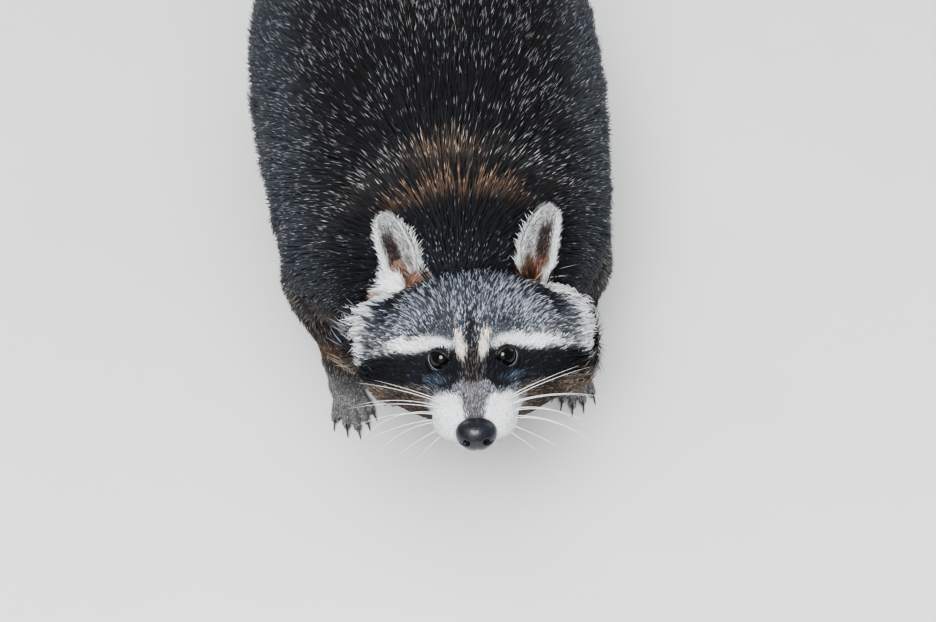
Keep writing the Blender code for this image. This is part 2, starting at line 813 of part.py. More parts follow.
def main():
    clear_scene()
    rng = random.Random(SEED)
    home = collection("raccoon", True)
    cutters = collection("cutters", False)
    head = build_head(home, cutters)
    nodes = {
        "nose": build_nose(home, cutters, head),
        "lower_jaw": build_jaw(home, cutters, head),
        "eye_left": build_eye(1, "eye_left", home),
        "eye_right": build_eye(-1, "eye_right", home),
        "ear_left": build_ear(1, "ear_left", home, cutters, head),
        "ear_right": build_ear(-1, "ear_right", home, cutters, head),
    }
    torso = build_trunk(home)
    neck = part_with_plane(torso, "neck", NECK_PLANE, home, cutters)
    combine(neck, block(HEAD_PLANE[0], -Vector(HEAD_PLANE[1]), cutters), "DIFFERENCE")
    for solid in (head, nodes["ear_left"], nodes["ear_right"]):
        combine(neck, copy_of(solid, cutters, GAP), "DIFFERENCE")
    keep_largest(neck)
    nodes.update(head=head, neck=neck, torso=torso)
    tail = nodes["tail"] = build_tail(home, cutters, torso)
    for side, word in ((1, "left"), (-1, "right")):
        for kind, path, shape, toes in (
            ("fore", FORELEG_PATH, FOREFOOT, FORE_TOES),
            ("hind", HINDLEG_PATH, HINDFOOT, HIND_TOES),
        ):
            leg, foot = f"{kind}leg_{word}", f"{kind}foot_{word}"
            nodes[leg] = build_leg(leg, path, side, home, cutters, (torso, neck))
            nodes[foot] = build_foot(
                foot, path, side, shape, toes, nodes[leg], home, cutters
            )
    trunk = station_surface(TRUNK_STATIONS, TRUNK_POWER)
    legs = [node for name, node in nodes.items() if "leg" in name]
    ears = [nodes["ear_left"], nodes["ear_right"]]
    plant_rows(neck, trunk, NECK_LOCKS, [head, torso, *ears, *legs], cutters, rng)
    plant_rows(tail, tube_surface(TAIL_PATH), TAIL_LOCKS, [torso], cutters, rng)
    plant_rows(torso, trunk, TORSO_LOCKS, [neck, tail, *legs], cutters, rng)
    plant_ruff(head, [neck, nodes["lower_jaw"], *ears], cutters, rng)
    finishes = {
        "fur_grey": material("fur_grey", FUR_GREY, 0.9),
        "fur_dark": material("fur_dark", FUR_DARK, 0.9),
        "fur_brown": material("fur_brown", FUR_BROWN, 0.9),
        "fur_pale": material("fur_pale", FUR_PALE, 0.9),
        "nose_leather": material("nose_leather", NOSE_BLACK, 0.35),
        "eye": material("eye", EYE_BROWN, 0.05),
    }
    worn = {"nose": "nose_leather", "eye_left": "eye", "eye_right": "eye"}
    worn.update(ear_left="fur_pale", ear_right="fur_pale", lower_jaw="fur_pale")
    for name, node in nodes.items():
        plain = "fur_brown" if "foot" in name else "fur_grey"
        dress(node, finishes[worn.get(name, plain)])
    centre_on_floor(list(nodes.values()))


main()
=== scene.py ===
"""A life-size raccoon standing in its winter coat, its masked face turned up.

Metres, +Z up, the nose towards -Y and the tail towards +Y; the animal's left is +X.
The body's tables are in millimetres, in the same frame as the solids before those were
centred on the floor, and MM turns them into metres.
"""

from __future__ import annotations

import json
import logging
import math
from collections.abc import Callable
from dataclasses import dataclass, field
from enum import Enum

import bmesh
import bpy
import numpy as np
from mathutils import Matrix, Vector

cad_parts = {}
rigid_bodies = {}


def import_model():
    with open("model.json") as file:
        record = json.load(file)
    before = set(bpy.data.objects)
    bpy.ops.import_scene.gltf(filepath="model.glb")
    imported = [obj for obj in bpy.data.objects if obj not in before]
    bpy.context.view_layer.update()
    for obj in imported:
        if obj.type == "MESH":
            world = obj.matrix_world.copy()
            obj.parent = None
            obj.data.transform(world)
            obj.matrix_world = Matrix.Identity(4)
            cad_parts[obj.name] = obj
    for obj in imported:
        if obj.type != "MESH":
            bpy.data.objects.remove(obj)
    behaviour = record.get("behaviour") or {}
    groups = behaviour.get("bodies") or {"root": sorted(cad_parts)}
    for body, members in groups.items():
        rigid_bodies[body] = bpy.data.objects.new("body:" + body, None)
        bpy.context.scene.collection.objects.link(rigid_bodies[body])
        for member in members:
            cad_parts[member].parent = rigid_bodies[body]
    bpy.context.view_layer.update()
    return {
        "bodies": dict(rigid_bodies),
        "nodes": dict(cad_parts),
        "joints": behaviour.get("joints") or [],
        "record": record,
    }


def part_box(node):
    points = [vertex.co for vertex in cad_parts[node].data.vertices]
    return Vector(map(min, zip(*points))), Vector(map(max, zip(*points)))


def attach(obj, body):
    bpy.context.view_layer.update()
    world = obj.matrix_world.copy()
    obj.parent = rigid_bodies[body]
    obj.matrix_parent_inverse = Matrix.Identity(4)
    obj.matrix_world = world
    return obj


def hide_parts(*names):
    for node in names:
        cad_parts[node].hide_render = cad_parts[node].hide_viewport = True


MM = 0.001
TURN = math.tau
SEED = 41
TUFT_POINTS = 7
PATH_STEPS = 240
Array = np.ndarray
Colour = tuple[float, float, float]
Triple = tuple[float, float, float]
Rows = tuple[tuple[float, ...], ...]
Lie = tuple[Array, Array, Array]
Placing = Callable[[Array, Array], Array]
Inset = Callable[[Array], Array]
BMesh = bmesh.types.BMesh
Piece = bpy.types.Object
Material = bpy.types.Material
Socket = bpy.types.NodeSocket
log = logging.getLogger("raccoon")


class Side(Enum):
    """The animal's left or right."""

    LEFT = 1
    RIGHT = -1

    @property
    def word(self) -> str:
        """The side's name in a piece's name."""
        return self.name.lower()


class Region(Enum):
    """A stretch of the coat with its own length of hair."""

    HEAD = 0
    EAR_LEFT = 1
    EAR_RIGHT = 2
    BODY = 3
    TAIL = 4
    FORELEG = 5
    HINDLEG = 6
    FOOT = 7

    @property
    def side(self) -> Side | None:
        """Which ear it is, if it is one."""
        return {Region.EAR_LEFT: Side.LEFT, Region.EAR_RIGHT: Side.RIGHT}.get(self)


def smooth(low: float, high: float, value: Array | float) -> Array:
    """A soft step from 0 at low to 1 at high.

    Args:
        low: Where the step starts.
        high: Where it ends; under low, the step falls instead.
        value: What is tested.

    Returns:
        The step's height for each value.
    """
    share = np.clip((np.asarray(value, float) - low) / (high - low), 0.0, 1.0)
    return share * share * (3.0 - 2.0 * share)


def unit(vectors: Array) -> Array:
    """Rows of vectors at length 1."""
    return vectors / np.maximum(np.linalg.norm(vectors, axis=-1, keepdims=True), 1e-9)


def signed_power(value: Array, power: float) -> Array:
    """A power that keeps the sign."""
    return np.sign(value) * np.abs(value) ** power


def spline_rows(rows: Rows | Array, count: int) -> Array:
    """Read a smooth curve through rows of numbers at even steps.

    Args:
        rows: The rows it passes through.
        count: How many rows to read.

    Returns:
        An array of count rows.
    """
    table = np.array(rows, float)
    padded = np.vstack((2 * table[0] - table[1], table, 2 * table[-1] - table[-2]))
    step = np.linspace(0, len(table) - 1, count)
    k = np.minimum(step.astype(int), len(table) - 2)
    t = (step - k)[:, None]
    a, b, c, d = (padded[k + n] for n in range(4))
    return (
        b * (2 * t**3 - 3 * t**2 + 1)
        + (c - a) / 2 * (t**3 - 2 * t**2 + t)
        + c * (3 * t**2 - 2 * t**3)
        + (d - b) / 2 * (t**3 - t**2)
    )


def value_noise(points: Array, size: float, seed: int) -> Array:
    """Smooth noise in space.

    Args:
        points: Rows of x, y, z.
        size: The width of a patch of it, in the points' own unit.
        seed: Which noise.

    Returns:
        One value a point, from -1 to 1.
    """
    cells = points / size
    low = np.floor(cells).astype(np.int64)
    share = cells - low
    share = share * share * (3 - 2 * share)
    found = np.zeros(len(points))
    for corner in range(8):
        bits = np.array([corner >> n & 1 for n in range(3)])
        key = (low + bits) @ np.array([73856093, 19349663, 83492791]) + seed * 7919
        key = (key ^ (key >> 13)) * 1274126177 & 0xFFFFFFFF
        height = ((key ^ (key >> 16)) & 0xFFFF) / 32767.5 - 1
        found += height * np.prod(np.where(bits, share, 1 - share), axis=1)
    return found


@dataclass(frozen=True)
class Stations:
    """A form with an egg-shaped section at each station along Y.

    Attributes:
        rows: y, half width, top, widest level, bottom.
        power: How square the section is.
        table: The smooth curve through them, in even steps.
    """

    rows: Rows
    power: float
    table: Array = field(init=False, repr=False)

    def __post_init__(self) -> None:
        """Read the smooth curve through the stations."""
        object.__setattr__(self, "table", spline_rows(self.rows, PATH_STEPS))

    def at(self, along: Array) -> tuple[Array, ...]:
        """Half width, top, level and bottom at places along Y."""
        return tuple(
            np.interp(along, self.table[:, 0], self.table[:, k]) for k in range(1, 5)
        )

    def point(self, along: Array, angle: Array, inset: Array | float = 0.0) -> Array:
        """Points of the surface.

        Args:
            along: Places along Y.
            angle: Round the section, from the animal's left, upwards, in radians.
            inset: How far under the surface.

        Returns:
            Rows of x, y, z.
        """
        wide, top, level, bottom = self.at(along)
        across = signed_power(np.cos(angle), 2 / self.power)
        rise = signed_power(np.sin(angle), 2 / self.power)
        reach = np.where(rise > 0, top - level, level - bottom)
        x = np.maximum(wide - inset, 1) * across
        z = level + np.maximum(reach - inset, 1) * rise
        return np.stack((x, along + 0 * x, z), axis=-1)

    def locate(self, points: Array) -> tuple[Array, Array, Array]:
        """Where points lie against the surface.

        Args:
            points: Rows of x, y, z.

        Returns:
            Place along Y, angle round the section, and height over the surface.
        """
        along = points[:, 1]
        wide, top, level, bottom = self.at(along)
        rise = points[:, 2] - level
        u = points[:, 0] / wide
        v = rise / np.where(rise > 0, top - level, level - bottom)
        ratio = (np.abs(u) ** self.power + np.abs(v) ** self.power) ** (1 / self.power)
        reach = np.hypot(points[:, 0], rise)
        beyond = np.maximum(self.table[0, 0] - along, along - self.table[-1, 0])
        height = np.maximum(reach * (1 - 1 / np.maximum(ratio, 1e-6)), beyond)
        angle = np.arctan2(
            signed_power(v, self.power / 2), signed_power(u, self.power / 2)
        )
        return along, angle, height


@dataclass(frozen=True)
class Tube:
    """A form round a bent path.

    Attributes:
        rows: x, y, z, radius across, and where it differs, radius along.
        table: The smooth path, in even steps.
        distance: How far along the path each step lies.
    """

    rows: Rows
    table: Array = field(init=False, repr=False)
    distance: Array = field(init=False, repr=False)

    def __post_init__(self) -> None:
        """Read the smooth path and its length."""
        table = spline_rows(self.rows, PATH_STEPS)
        steps = np.linalg.norm(np.diff(table[:, :3], axis=0), axis=1)
        object.__setattr__(self, "table", table)
        object.__setattr__(self, "distance", np.concatenate(([0.0], np.cumsum(steps))))

    @property
    def length(self) -> float:
        """How long the path is."""
        return float(self.distance[-1])

    def read(self, along: Array, column: int) -> Array:
        """One column of the path at distances along it."""
        return np.interp(along, self.distance, self.table[:, column])

    def middle(self, along: Array) -> Array:
        """Points of the path."""
        return np.stack([self.read(along, k) for k in range(3)], axis=-1)

    def frame(self, along: Array) -> tuple[Array, Array, Array]:
        """Directions ahead, across and outwards at distances along the path.

        Args:
            along: The distances.

        Returns:
            Rows of each direction.
        """
        ahead = unit(self.middle(along + 2) - self.middle(along - 2))
        start = np.array((1.0, 0.0, 0.0))
        across = unit(start - ahead * ahead[..., :1])
        return ahead, across, np.cross(ahead, across)

    def point(self, along: Array, angle: Array, inset: Array | float = 0.0) -> Array:
        """Points of the tube's surface.

        Args:
            along: Distances along the path.
            angle: Round it, in radians.
            inset: How far under the surface.

        Returns:
            Rows of x, y, z.
        """
        _, across, out = self.frame(along)
        wide = np.maximum(self.read(along, 3) - inset, 1.5)
        deep = np.maximum(self.read(along, self.table.shape[1] - 1) - inset, 1.5)
        return (
            self.middle(along)
            + across * (wide * np.cos(angle))[..., None]
            + out * (deep * np.sin(angle))[..., None]
        )

    def locate(self, points: Array) -> tuple[Array, Array, Array]:
        """Where points lie against the tube.

        Args:
            points: Rows of x, y, z.

        Returns:
            Distance along the path, angle round it, and height over the surface.
        """
        path = self.table[:, :3]
        nearest = np.concatenate(
            [
                np.argmin(((chunk[:, None] - path[None]) ** 2).sum(-1), axis=1)
                for chunk in np.array_split(points, max(len(points) // 4000, 1))
            ]
        )
        along = self.distance[nearest]
        ahead, across, out = self.frame(along)
        off = points - path[nearest]
        side, up = (off * across).sum(-1), (off * out).sum(-1)
        wide, deep = self.table[nearest, 3], self.table[nearest, -1]
        ratio = np.hypot(side / wide, up / deep)
        beyond = np.abs((off * ahead).sum(-1)) - 6
        height = np.maximum(np.hypot(side, up) * (1 - 1 / np.maximum(ratio, 1e-6)), beyond)
        return along, np.arctan2(up / deep, side / wide), height


@dataclass(frozen=True)
class EarLeaf:
    """The middle surface of one ear: an oval leaf, cupped open to the front.

    Attributes:
        side: Which ear.
        base: The middle of its root, on the left, in the head's frame.
        tip: Its tip, likewise.
        half_width: At its widest.
        widest: Where that is, as a share of its height.
        stem: The root's width as a share of the widest.
        stem_top: Where the stem begins.
        cup: How deep the leaf is cupped.
        lean: How far its middle bows inwards.
    """

    side: Side
    base: Triple = (45, 57, 22)
    tip: Triple = (55.3, 65.4, 82)
    half_width: float = 14.8
    widest: float = 0.5
    stem: float = 0.5
    stem_top: float = 0.06
    cup: float = 11.0
    lean: float = 3.5

    def axes(self) -> tuple[Array, Array, Array, Array]:
        """The root, and the ways up, outwards and back of the leaf."""
        mirror = np.array((self.side.value, 1.0, 1.0))
        base, tip = np.array(self.base) * mirror, np.array(self.tip) * mirror
        up = tip - base
        out = unit(np.array((self.side.value, 0.15, 0.0)))
        back = unit(np.cross(out, up))
        return base, up, out, back if back[1] > 0 else -back

    def middle(self) -> Array:
        """A point near the middle of the leaf."""
        return self.point(np.zeros(1), np.full(1, 0.45))[0]

    def point(self, across: Array, rise: Array, shrink: float = 0.0) -> Array:
        """Points of the leaf.

        Args:
            across: From -1 at the inner rim to 1 at the outer.
            rise: From 0 at the root to 1 at the tip.
            shrink: How far the outline is drawn in.

        Returns:
            Rows of x, y, z in the head's frame.
        """
        base, up, out, back = self.axes()
        crown = np.sqrt(np.clip(1 - ((rise - self.widest) / (1.01 - self.widest)) ** 2, 0, 1))
        fall = (self.widest - rise) / (self.widest - self.stem_top)
        foot = np.sqrt(np.maximum(1 - fall**2, self.stem**2))
        share = np.where(rise > self.widest, crown, foot)
        width = np.maximum(self.half_width - shrink, 1) * share
        lean = -self.lean * np.sin(math.pi * rise)
        cup = self.cup * (1 - across**2) * (1 - 0.75 * rise)
        rise = rise * (1 - shrink / float(np.linalg.norm(up)))
        return (
            base
            + up * rise[..., None]
            + out * (width * across + lean)[..., None]
            + back * cup[..., None]
        )

    def locate(self, points: Array) -> tuple[Array, Array, Array, Array]:
        """Where points lie against the leaf.

        Args:
            points: Rows in the head's frame.

        Returns:
            Across, rise, distance from the leaf, and 1 in front of it or -1 behind it.
        """
        across, rise = np.meshgrid(np.linspace(-1, 1, 33), np.linspace(-0.15, 1, 45))
        leaf = self.point(across, rise).reshape(-1, 3)
        _, _, _, back = self.axes()
        found = np.empty((4, len(points)))
        for rows in np.array_split(np.arange(len(points)), max(len(points) // 2000, 1)):
            gap = ((points[rows][:, None] - leaf[None]) ** 2).sum(-1)
            best = gap.argmin(axis=1)
            found[0, rows], found[1, rows] = across.ravel()[best], rise.ravel()[best]
            found[2, rows] = np.sqrt(gap[np.arange(len(rows)), best])
            found[3, rows] = np.where((points[rows] - leaf[best]) @ back < 0, 1, -1)
        return tuple(found)


@dataclass(frozen=True)
class FootPlan:
    """The sizes of one kind of foot.

    Attributes:
        half_width: Of the palm.
        length: From heel to the toes' roots.
        height: Of the palm.
        turn: How far the foot turns outwards, in degrees.
        toe: Radius of a toe.
        claw: Length of a claw.
        toes: Each toe's angle, where it leaves the palm across, and its length.
    """

    half_width: float
    length: float
    height: float
    turn: float
    toe: float
    claw: float
    toes: tuple[Triple, ...]


@dataclass
class Anatomy:
    """The animal's sizes, in millimetres, and the frames that they are given in.

    Attributes:
        eye_point: Midway between the eyes, in the tables' frame.
        turns: How far the head is pitched up, yawed to its right and rolled, in degrees.
        eye_centre: The left eyeball's middle in the head's frame, as the solids have it.
        eye_radius: Its radius.
        gaze_out: How far each eye faces outwards, in degrees.
        gaze_up: How far its opening faces up, to 1 forwards.
        eye_nudge: How far the scene's eyeball is moved from the solids' own.
        nose_centre: The nose pad's middle in the head's frame.
        left_forefoot: How far further out and back the left forefoot stands.
        coat_depth: How deep the long coat is.
        head: The head's form, out to the coat's tips, as are the next three.
        jaw: The lower jaw's.
        trunk: The trunk's.
        tail: The tail's.
        foreleg_rows: x, y, z, radius across and radius along of the left foreleg.
        hindleg_rows: Of the left hind leg.
        forefoot: The forefeet's sizes.
        hindfoot: The hind feet's.
        shift: How far the solids were moved when they were centred, in metres.
        matrix: From the head's frame in millimetres to the model's in metres.
        ears: The ears' leaves.
    """

    eye_point: Triple = (4, 0, 175)
    turns: Triple = (25.3, 5.8, 3.1)
    eye_centre: Triple = (19.5, 2.0, 3.2)
    eye_radius: float = 9.3
    gaze_out: float = 26.0
    gaze_up: float = -0.03
    eye_nudge: Triple = (0.7, 0.0, -0.9)
    nose_centre: Triple = (0.5, -58.0, -23.2)
    left_forefoot: tuple[float, float] = (15.0, 4.0)
    coat_depth: float = 12.0
    head: Stations = Stations(
        (
            (-60, 8, -15, -22, -28),
            (-56, 15, -13, -23, -31),
            (-50, 21, -10, -24, -33),
            (-40, 26, -6, -24, -34),
            (-28, 28, -2, -23, -35),
            (-16, 30, 3, -22, -38),
            (-6, 37, 11, -19, -43),
            (4, 49, 22, -16, -51),
            (16, 62, 32, -14, -56),
            (30, 70, 39, -12, -59),
            (46, 72, 42, -10, -60),
            (60, 67, 41, -8, -58),
            (74, 58, 36, -6, -55),
            (88, 47, 27, -5, -49),
        ),
        2.3,
    )
    jaw: Stations = Stations(
        (
            (-52, 5, -30, -34, -37),
            (-48, 12, -28, -35, -42),
            (-38, 17, -28, -36, -46),
            (-24, 20, -28, -37, -49),
            (-10, 24, -30, -40, -52),
            (4, 28, -32, -42, -56),
            (14, 29, -34, -44, -57),
        ),
        2.3,
    )
    trunk: Stations = Stations(
        (
            (46, 58, 178, 140, 96),
            (62, 76, 190, 140, 88),
            (84, 96, 201, 139, 80),
            (112, 113, 215, 138, 73),
            (165, 124, 240, 140, 66),
            (230, 131, 254, 142, 60),
            (300, 136, 262, 142, 56),
            (365, 133, 260, 142, 60),
            (420, 118, 246, 146, 78),
            (462, 88, 222, 156, 106),
            (486, 52, 200, 166, 136),
        ),
        2.25,
    )
    tail: Tube = Tube(
        (
            (0, 462, 178, 30),
            (0, 505, 160, 36),
            (2, 550, 132, 42),
            (6, 600, 102, 46),
            (11, 655, 82, 46),
            (16, 705, 73, 43),
            (20, 745, 71, 33),
            (23, 770, 72, 20),
            (24, 786, 73, 7),
        )
    )
    foreleg_rows: Rows = (
        (70, 150, 150, 34, 44),
        (84, 148, 118, 34, 42),
        (88, 148, 92, 30, 34),
        (86, 142, 68, 23, 25),
        (84, 137, 46, 17, 18),
        (83, 131, 30, 14.5, 14),
    )
    hindleg_rows: Rows = (
        (66, 392, 160, 44, 62),
        (84, 386, 128, 42, 60),
        (94, 384, 98, 34, 52),
        (97, 398, 70, 25, 36),
        (96, 418, 46, 18, 22),
        (95, 428, 31, 16, 16),
    )
    forefoot: FootPlan = FootPlan(
        14, 36, 11, -9, 3.7, 7,
        ((-15, -10.4, 15), (-7, -5.6, 21), (0, -0.2, 24), (7, 5.2, 22), (18, 10.4, 16)),
    )
    hindfoot: FootPlan = FootPlan(
        17, 76, 12, 5, 4.3, 8,
        ((-22, -12.5, 17), (-9, -7, 23), (0, -0.5, 25), (9, 6, 23), (20, 12.5, 17)),
    )
    shift: Vector = field(init=False, repr=False)
    matrix: Array = field(init=False, repr=False)
    ears: dict[Side, EarLeaf] = field(init=False, repr=False)

    def __post_init__(self) -> None:
        """Find how far the solids were moved when they were centred on the floor."""
        self.shift = Vector()
        boxes = [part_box(f"eye_{side.word}") for side in Side]
        middle = sum((Vector(corner) for pair in boxes for corner in pair), Vector()) / 4
        built = self.head_matrix() @ Vector((0, *self.eye_centre[1:]))
        self.shift = middle - built
        self.matrix = np.array(self.head_matrix())
        self.ears = {side: EarLeaf(side) for side in Side}

    def head_matrix(self) -> Matrix:
        """From the head's frame in millimetres to the model's in metres."""
        pitch, yaw, roll = (math.radians(turn) for turn in self.turns)
        turn = (
            Matrix.Rotation(-yaw, 4, "Z")
            @ Matrix.Rotation(-pitch, 4, "X")
            @ Matrix.Rotation(-roll, 4, "Y")
        )
        place = Matrix.Translation(Vector(self.eye_point) * MM + self.shift)
        return place @ turn @ Matrix.Scale(MM, 4)

    def head_turn(self) -> Matrix:
        """How the head's frame is turned in the model's."""
        return Matrix(self.turn_from_head(np.eye(3)).T.tolist())

    def from_head(self, points: Array) -> Array:
        """Points of the head's frame, in the model's."""
        return points @ self.matrix[:3, :3].T + self.matrix[:3, 3]

    def to_head(self, points: Array) -> Array:
        """Points of the model's frame, in the head's."""
        return (points - self.matrix[:3, 3]) @ (self.matrix[:3, :3] / MM**2)

    def turn_from_head(self, vectors: Array) -> Array:
        """Directions of the head's frame, in the model's."""
        return vectors @ (self.matrix[:3, :3].T / MM)

    def from_body(self, points: Array) -> Array:
        """Points of the tables, in the model's frame."""
        return points * MM + np.array(self.shift)

    def to_body(self, points: Array) -> Array:
        """Points of the model's frame, in the tables' millimetres."""
        return (points - np.array(self.shift)) / MM

    def gaze(self, side: Side) -> Array:
        """Which way an eye's opening faces, in the head's frame."""
        out = math.radians(self.gaze_out)
        return unit(np.array((side.value * math.sin(out), -math.cos(out), self.gaze_up)))

    def eye(self, side: Side) -> Array:
        """An eyeball's middle in the head's frame."""
        return (np.array(self.eye_centre) + self.eye_nudge) * np.array((side.value, 1, 1))

    def foot(self, front: bool) -> FootPlan:
        """The sizes of a forefoot or a hind foot."""
        return self.forefoot if front else self.hindfoot

    def leg_rows(self, front: bool, side: Side) -> Rows:
        """The path of one leg.

        Args:
            front: Whether it is a foreleg.
            side: The animal's left or right.

        Returns:
            Rows of x, y, z, radius across and radius along.
        """
        rows = self.foreleg_rows if front else self.hindleg_rows
        out, back = self.left_forefoot if front and side is Side.LEFT else (0.0, 0.0)
        top, foot = rows[0][2], rows[-1][2]
        found = []
        for x, y, z, *radii in rows:
            share = ((top - z) / (top - foot)) ** 2
            found.append((side.value * (x + out * share), y + back * share, z, *radii))
        return tuple(found)


def settle(obj: Piece) -> Piece:
    """Replace a piece's mesh by what its modifiers make of it.

    Args:
        obj: The piece.

    Returns:
        The piece.
    """
    bpy.context.view_layer.update()
    graph = bpy.context.evaluated_depsgraph_get()
    mesh = bpy.data.meshes.new_from_object(obj.evaluated_get(graph))
    obj.modifiers.clear()
    obj.data = mesh
    return obj


def link_new(name: str, data: bpy.types.ID) -> Piece:
    """Put a new object with this mesh, lamp or camera into the scene.

    Args:
        name: The object's name.
        data: The mesh, lamp or camera.

    Returns:
        The object.
    """
    obj = bpy.data.objects.new(name, data)
    bpy.context.scene.collection.objects.link(obj)
    return obj


def add_piece(name: str, bm: BMesh) -> Piece:
    """Make an object of a bmesh, its faces turned outwards.

    Args:
        name: The piece's name.
        bm: Its shape, in metres; freed here.

    Returns:
        The piece, in the scene.
    """
    bmesh.ops.recalc_face_normals(bm, faces=bm.faces)
    if bm.calc_volume(signed=True) < 0:
        bmesh.ops.reverse_faces(bm, faces=bm.faces)
    mesh = bpy.data.meshes.new(name)
    bm.to_mesh(mesh)
    bm.free()
    mesh.shade_smooth()
    return link_new(name, mesh)


def add_form(bm: BMesh, form: BMesh) -> None:
    """Add a form, freed here, to a bmesh.

    Args:
        bm: What it is added to.
        form: The form.
    """
    mesh = bpy.data.meshes.new("form")
    form.to_mesh(mesh)
    form.free()
    bm.from_mesh(mesh)
    bpy.data.meshes.remove(mesh)


def vertex_array(mesh: bpy.types.Mesh) -> Array:
    """A mesh's vertices as rows of x, y, z."""
    found = np.empty(len(mesh.vertices) * 3, np.float32)
    mesh.vertices.foreach_get("co", found)
    return found.reshape(-1, 3).astype(float)


def add_layer(mesh: bpy.types.Mesh, name: str, rows: Array) -> None:
    """Give a mesh one colour a vertex, from rows of red, green, blue and 1."""
    layer = mesh.attributes.new(name, "FLOAT_COLOR", "POINT")
    layer.data.foreach_set("color", rows.astype(np.float32).ravel())


def wrapped(rows: int, columns: int, place: Placing) -> BMesh:
    """Wrap a grid round a form and close its ends.

    Args:
        rows: Steps along the form.
        columns: Steps round it.
        place: From shares along and round to points in metres.

    Returns:
        The closed form.
    """
    bm = bmesh.new()
    bmesh.ops.create_grid(bm, x_segments=rows, y_segments=columns, size=0.5)
    flat = np.array([vert.co[:2] for vert in bm.verts]) + 0.5
    for vert, point in zip(bm.verts, place(flat[:, 0], flat[:, 1])):
        vert.co = point
    bmesh.ops.remove_doubles(bm, verts=bm.verts, dist=1e-6)
    bmesh.ops.holes_fill(bm, edges=[edge for edge in bm.edges if edge.is_boundary])
    return bm


def rounded(centre: Array, halves: tuple[float, ...], turn: Matrix, steps: int) -> BMesh:
    """An egg-shaped form, in metres.

    Args:
        centre: Its middle, in millimetres.
        halves: Its half sizes, in millimetres.
        turn: How it is turned.
        steps: How finely it is made.

    Returns:
        The closed form.
    """
    bm = bmesh.new()
    bmesh.ops.create_uvsphere(bm, u_segments=steps, v_segments=steps * 2 // 3, radius=MM)
    place = Matrix.Translation(Vector(centre) * MM)
    bm.transform(place @ turn.to_4x4() @ Matrix.Diagonal((*halves, 1)))
    return bm


def join_forms(obj: Piece, others: list[Piece], how: str) -> None:
    """Join forms to a piece, or cut them out of it, and remove them.

    Args:
        obj: The piece that is changed.
        others: The forms.
        how: UNION or DIFFERENCE.
    """
    group = bpy.data.collections.new("forms")
    bpy.context.scene.collection.children.link(group)
    for other in others:
        group.objects.link(other)
    joint = obj.modifiers.new("join", "BOOLEAN")
    joint.operation = how
    joint.solver = "MANIFOLD"
    joint.operand_type = "COLLECTION"
    joint.collection = group
    settle(obj)
    for other in others:
        bpy.data.objects.remove(other, do_unlink=True)
    bpy.data.collections.remove(group)


def remesh(obj: Piece, voxel: float, passes: int) -> Piece:
    """Make one even, smooth surface of a piece's forms.

    Args:
        obj: The piece.
        voxel: The size of its faces, in millimetres.
        passes: How often it is smoothed.

    Returns:
        The piece.
    """
    even = obj.modifiers.new("even", "REMESH")
    even.mode = "VOXEL"
    even.voxel_size = voxel * MM
    even.use_smooth_shade = True
    soft = obj.modifiers.new("soft", "SMOOTH")
    soft.factor = 0.5
    soft.iterations = passes
    return settle(obj)


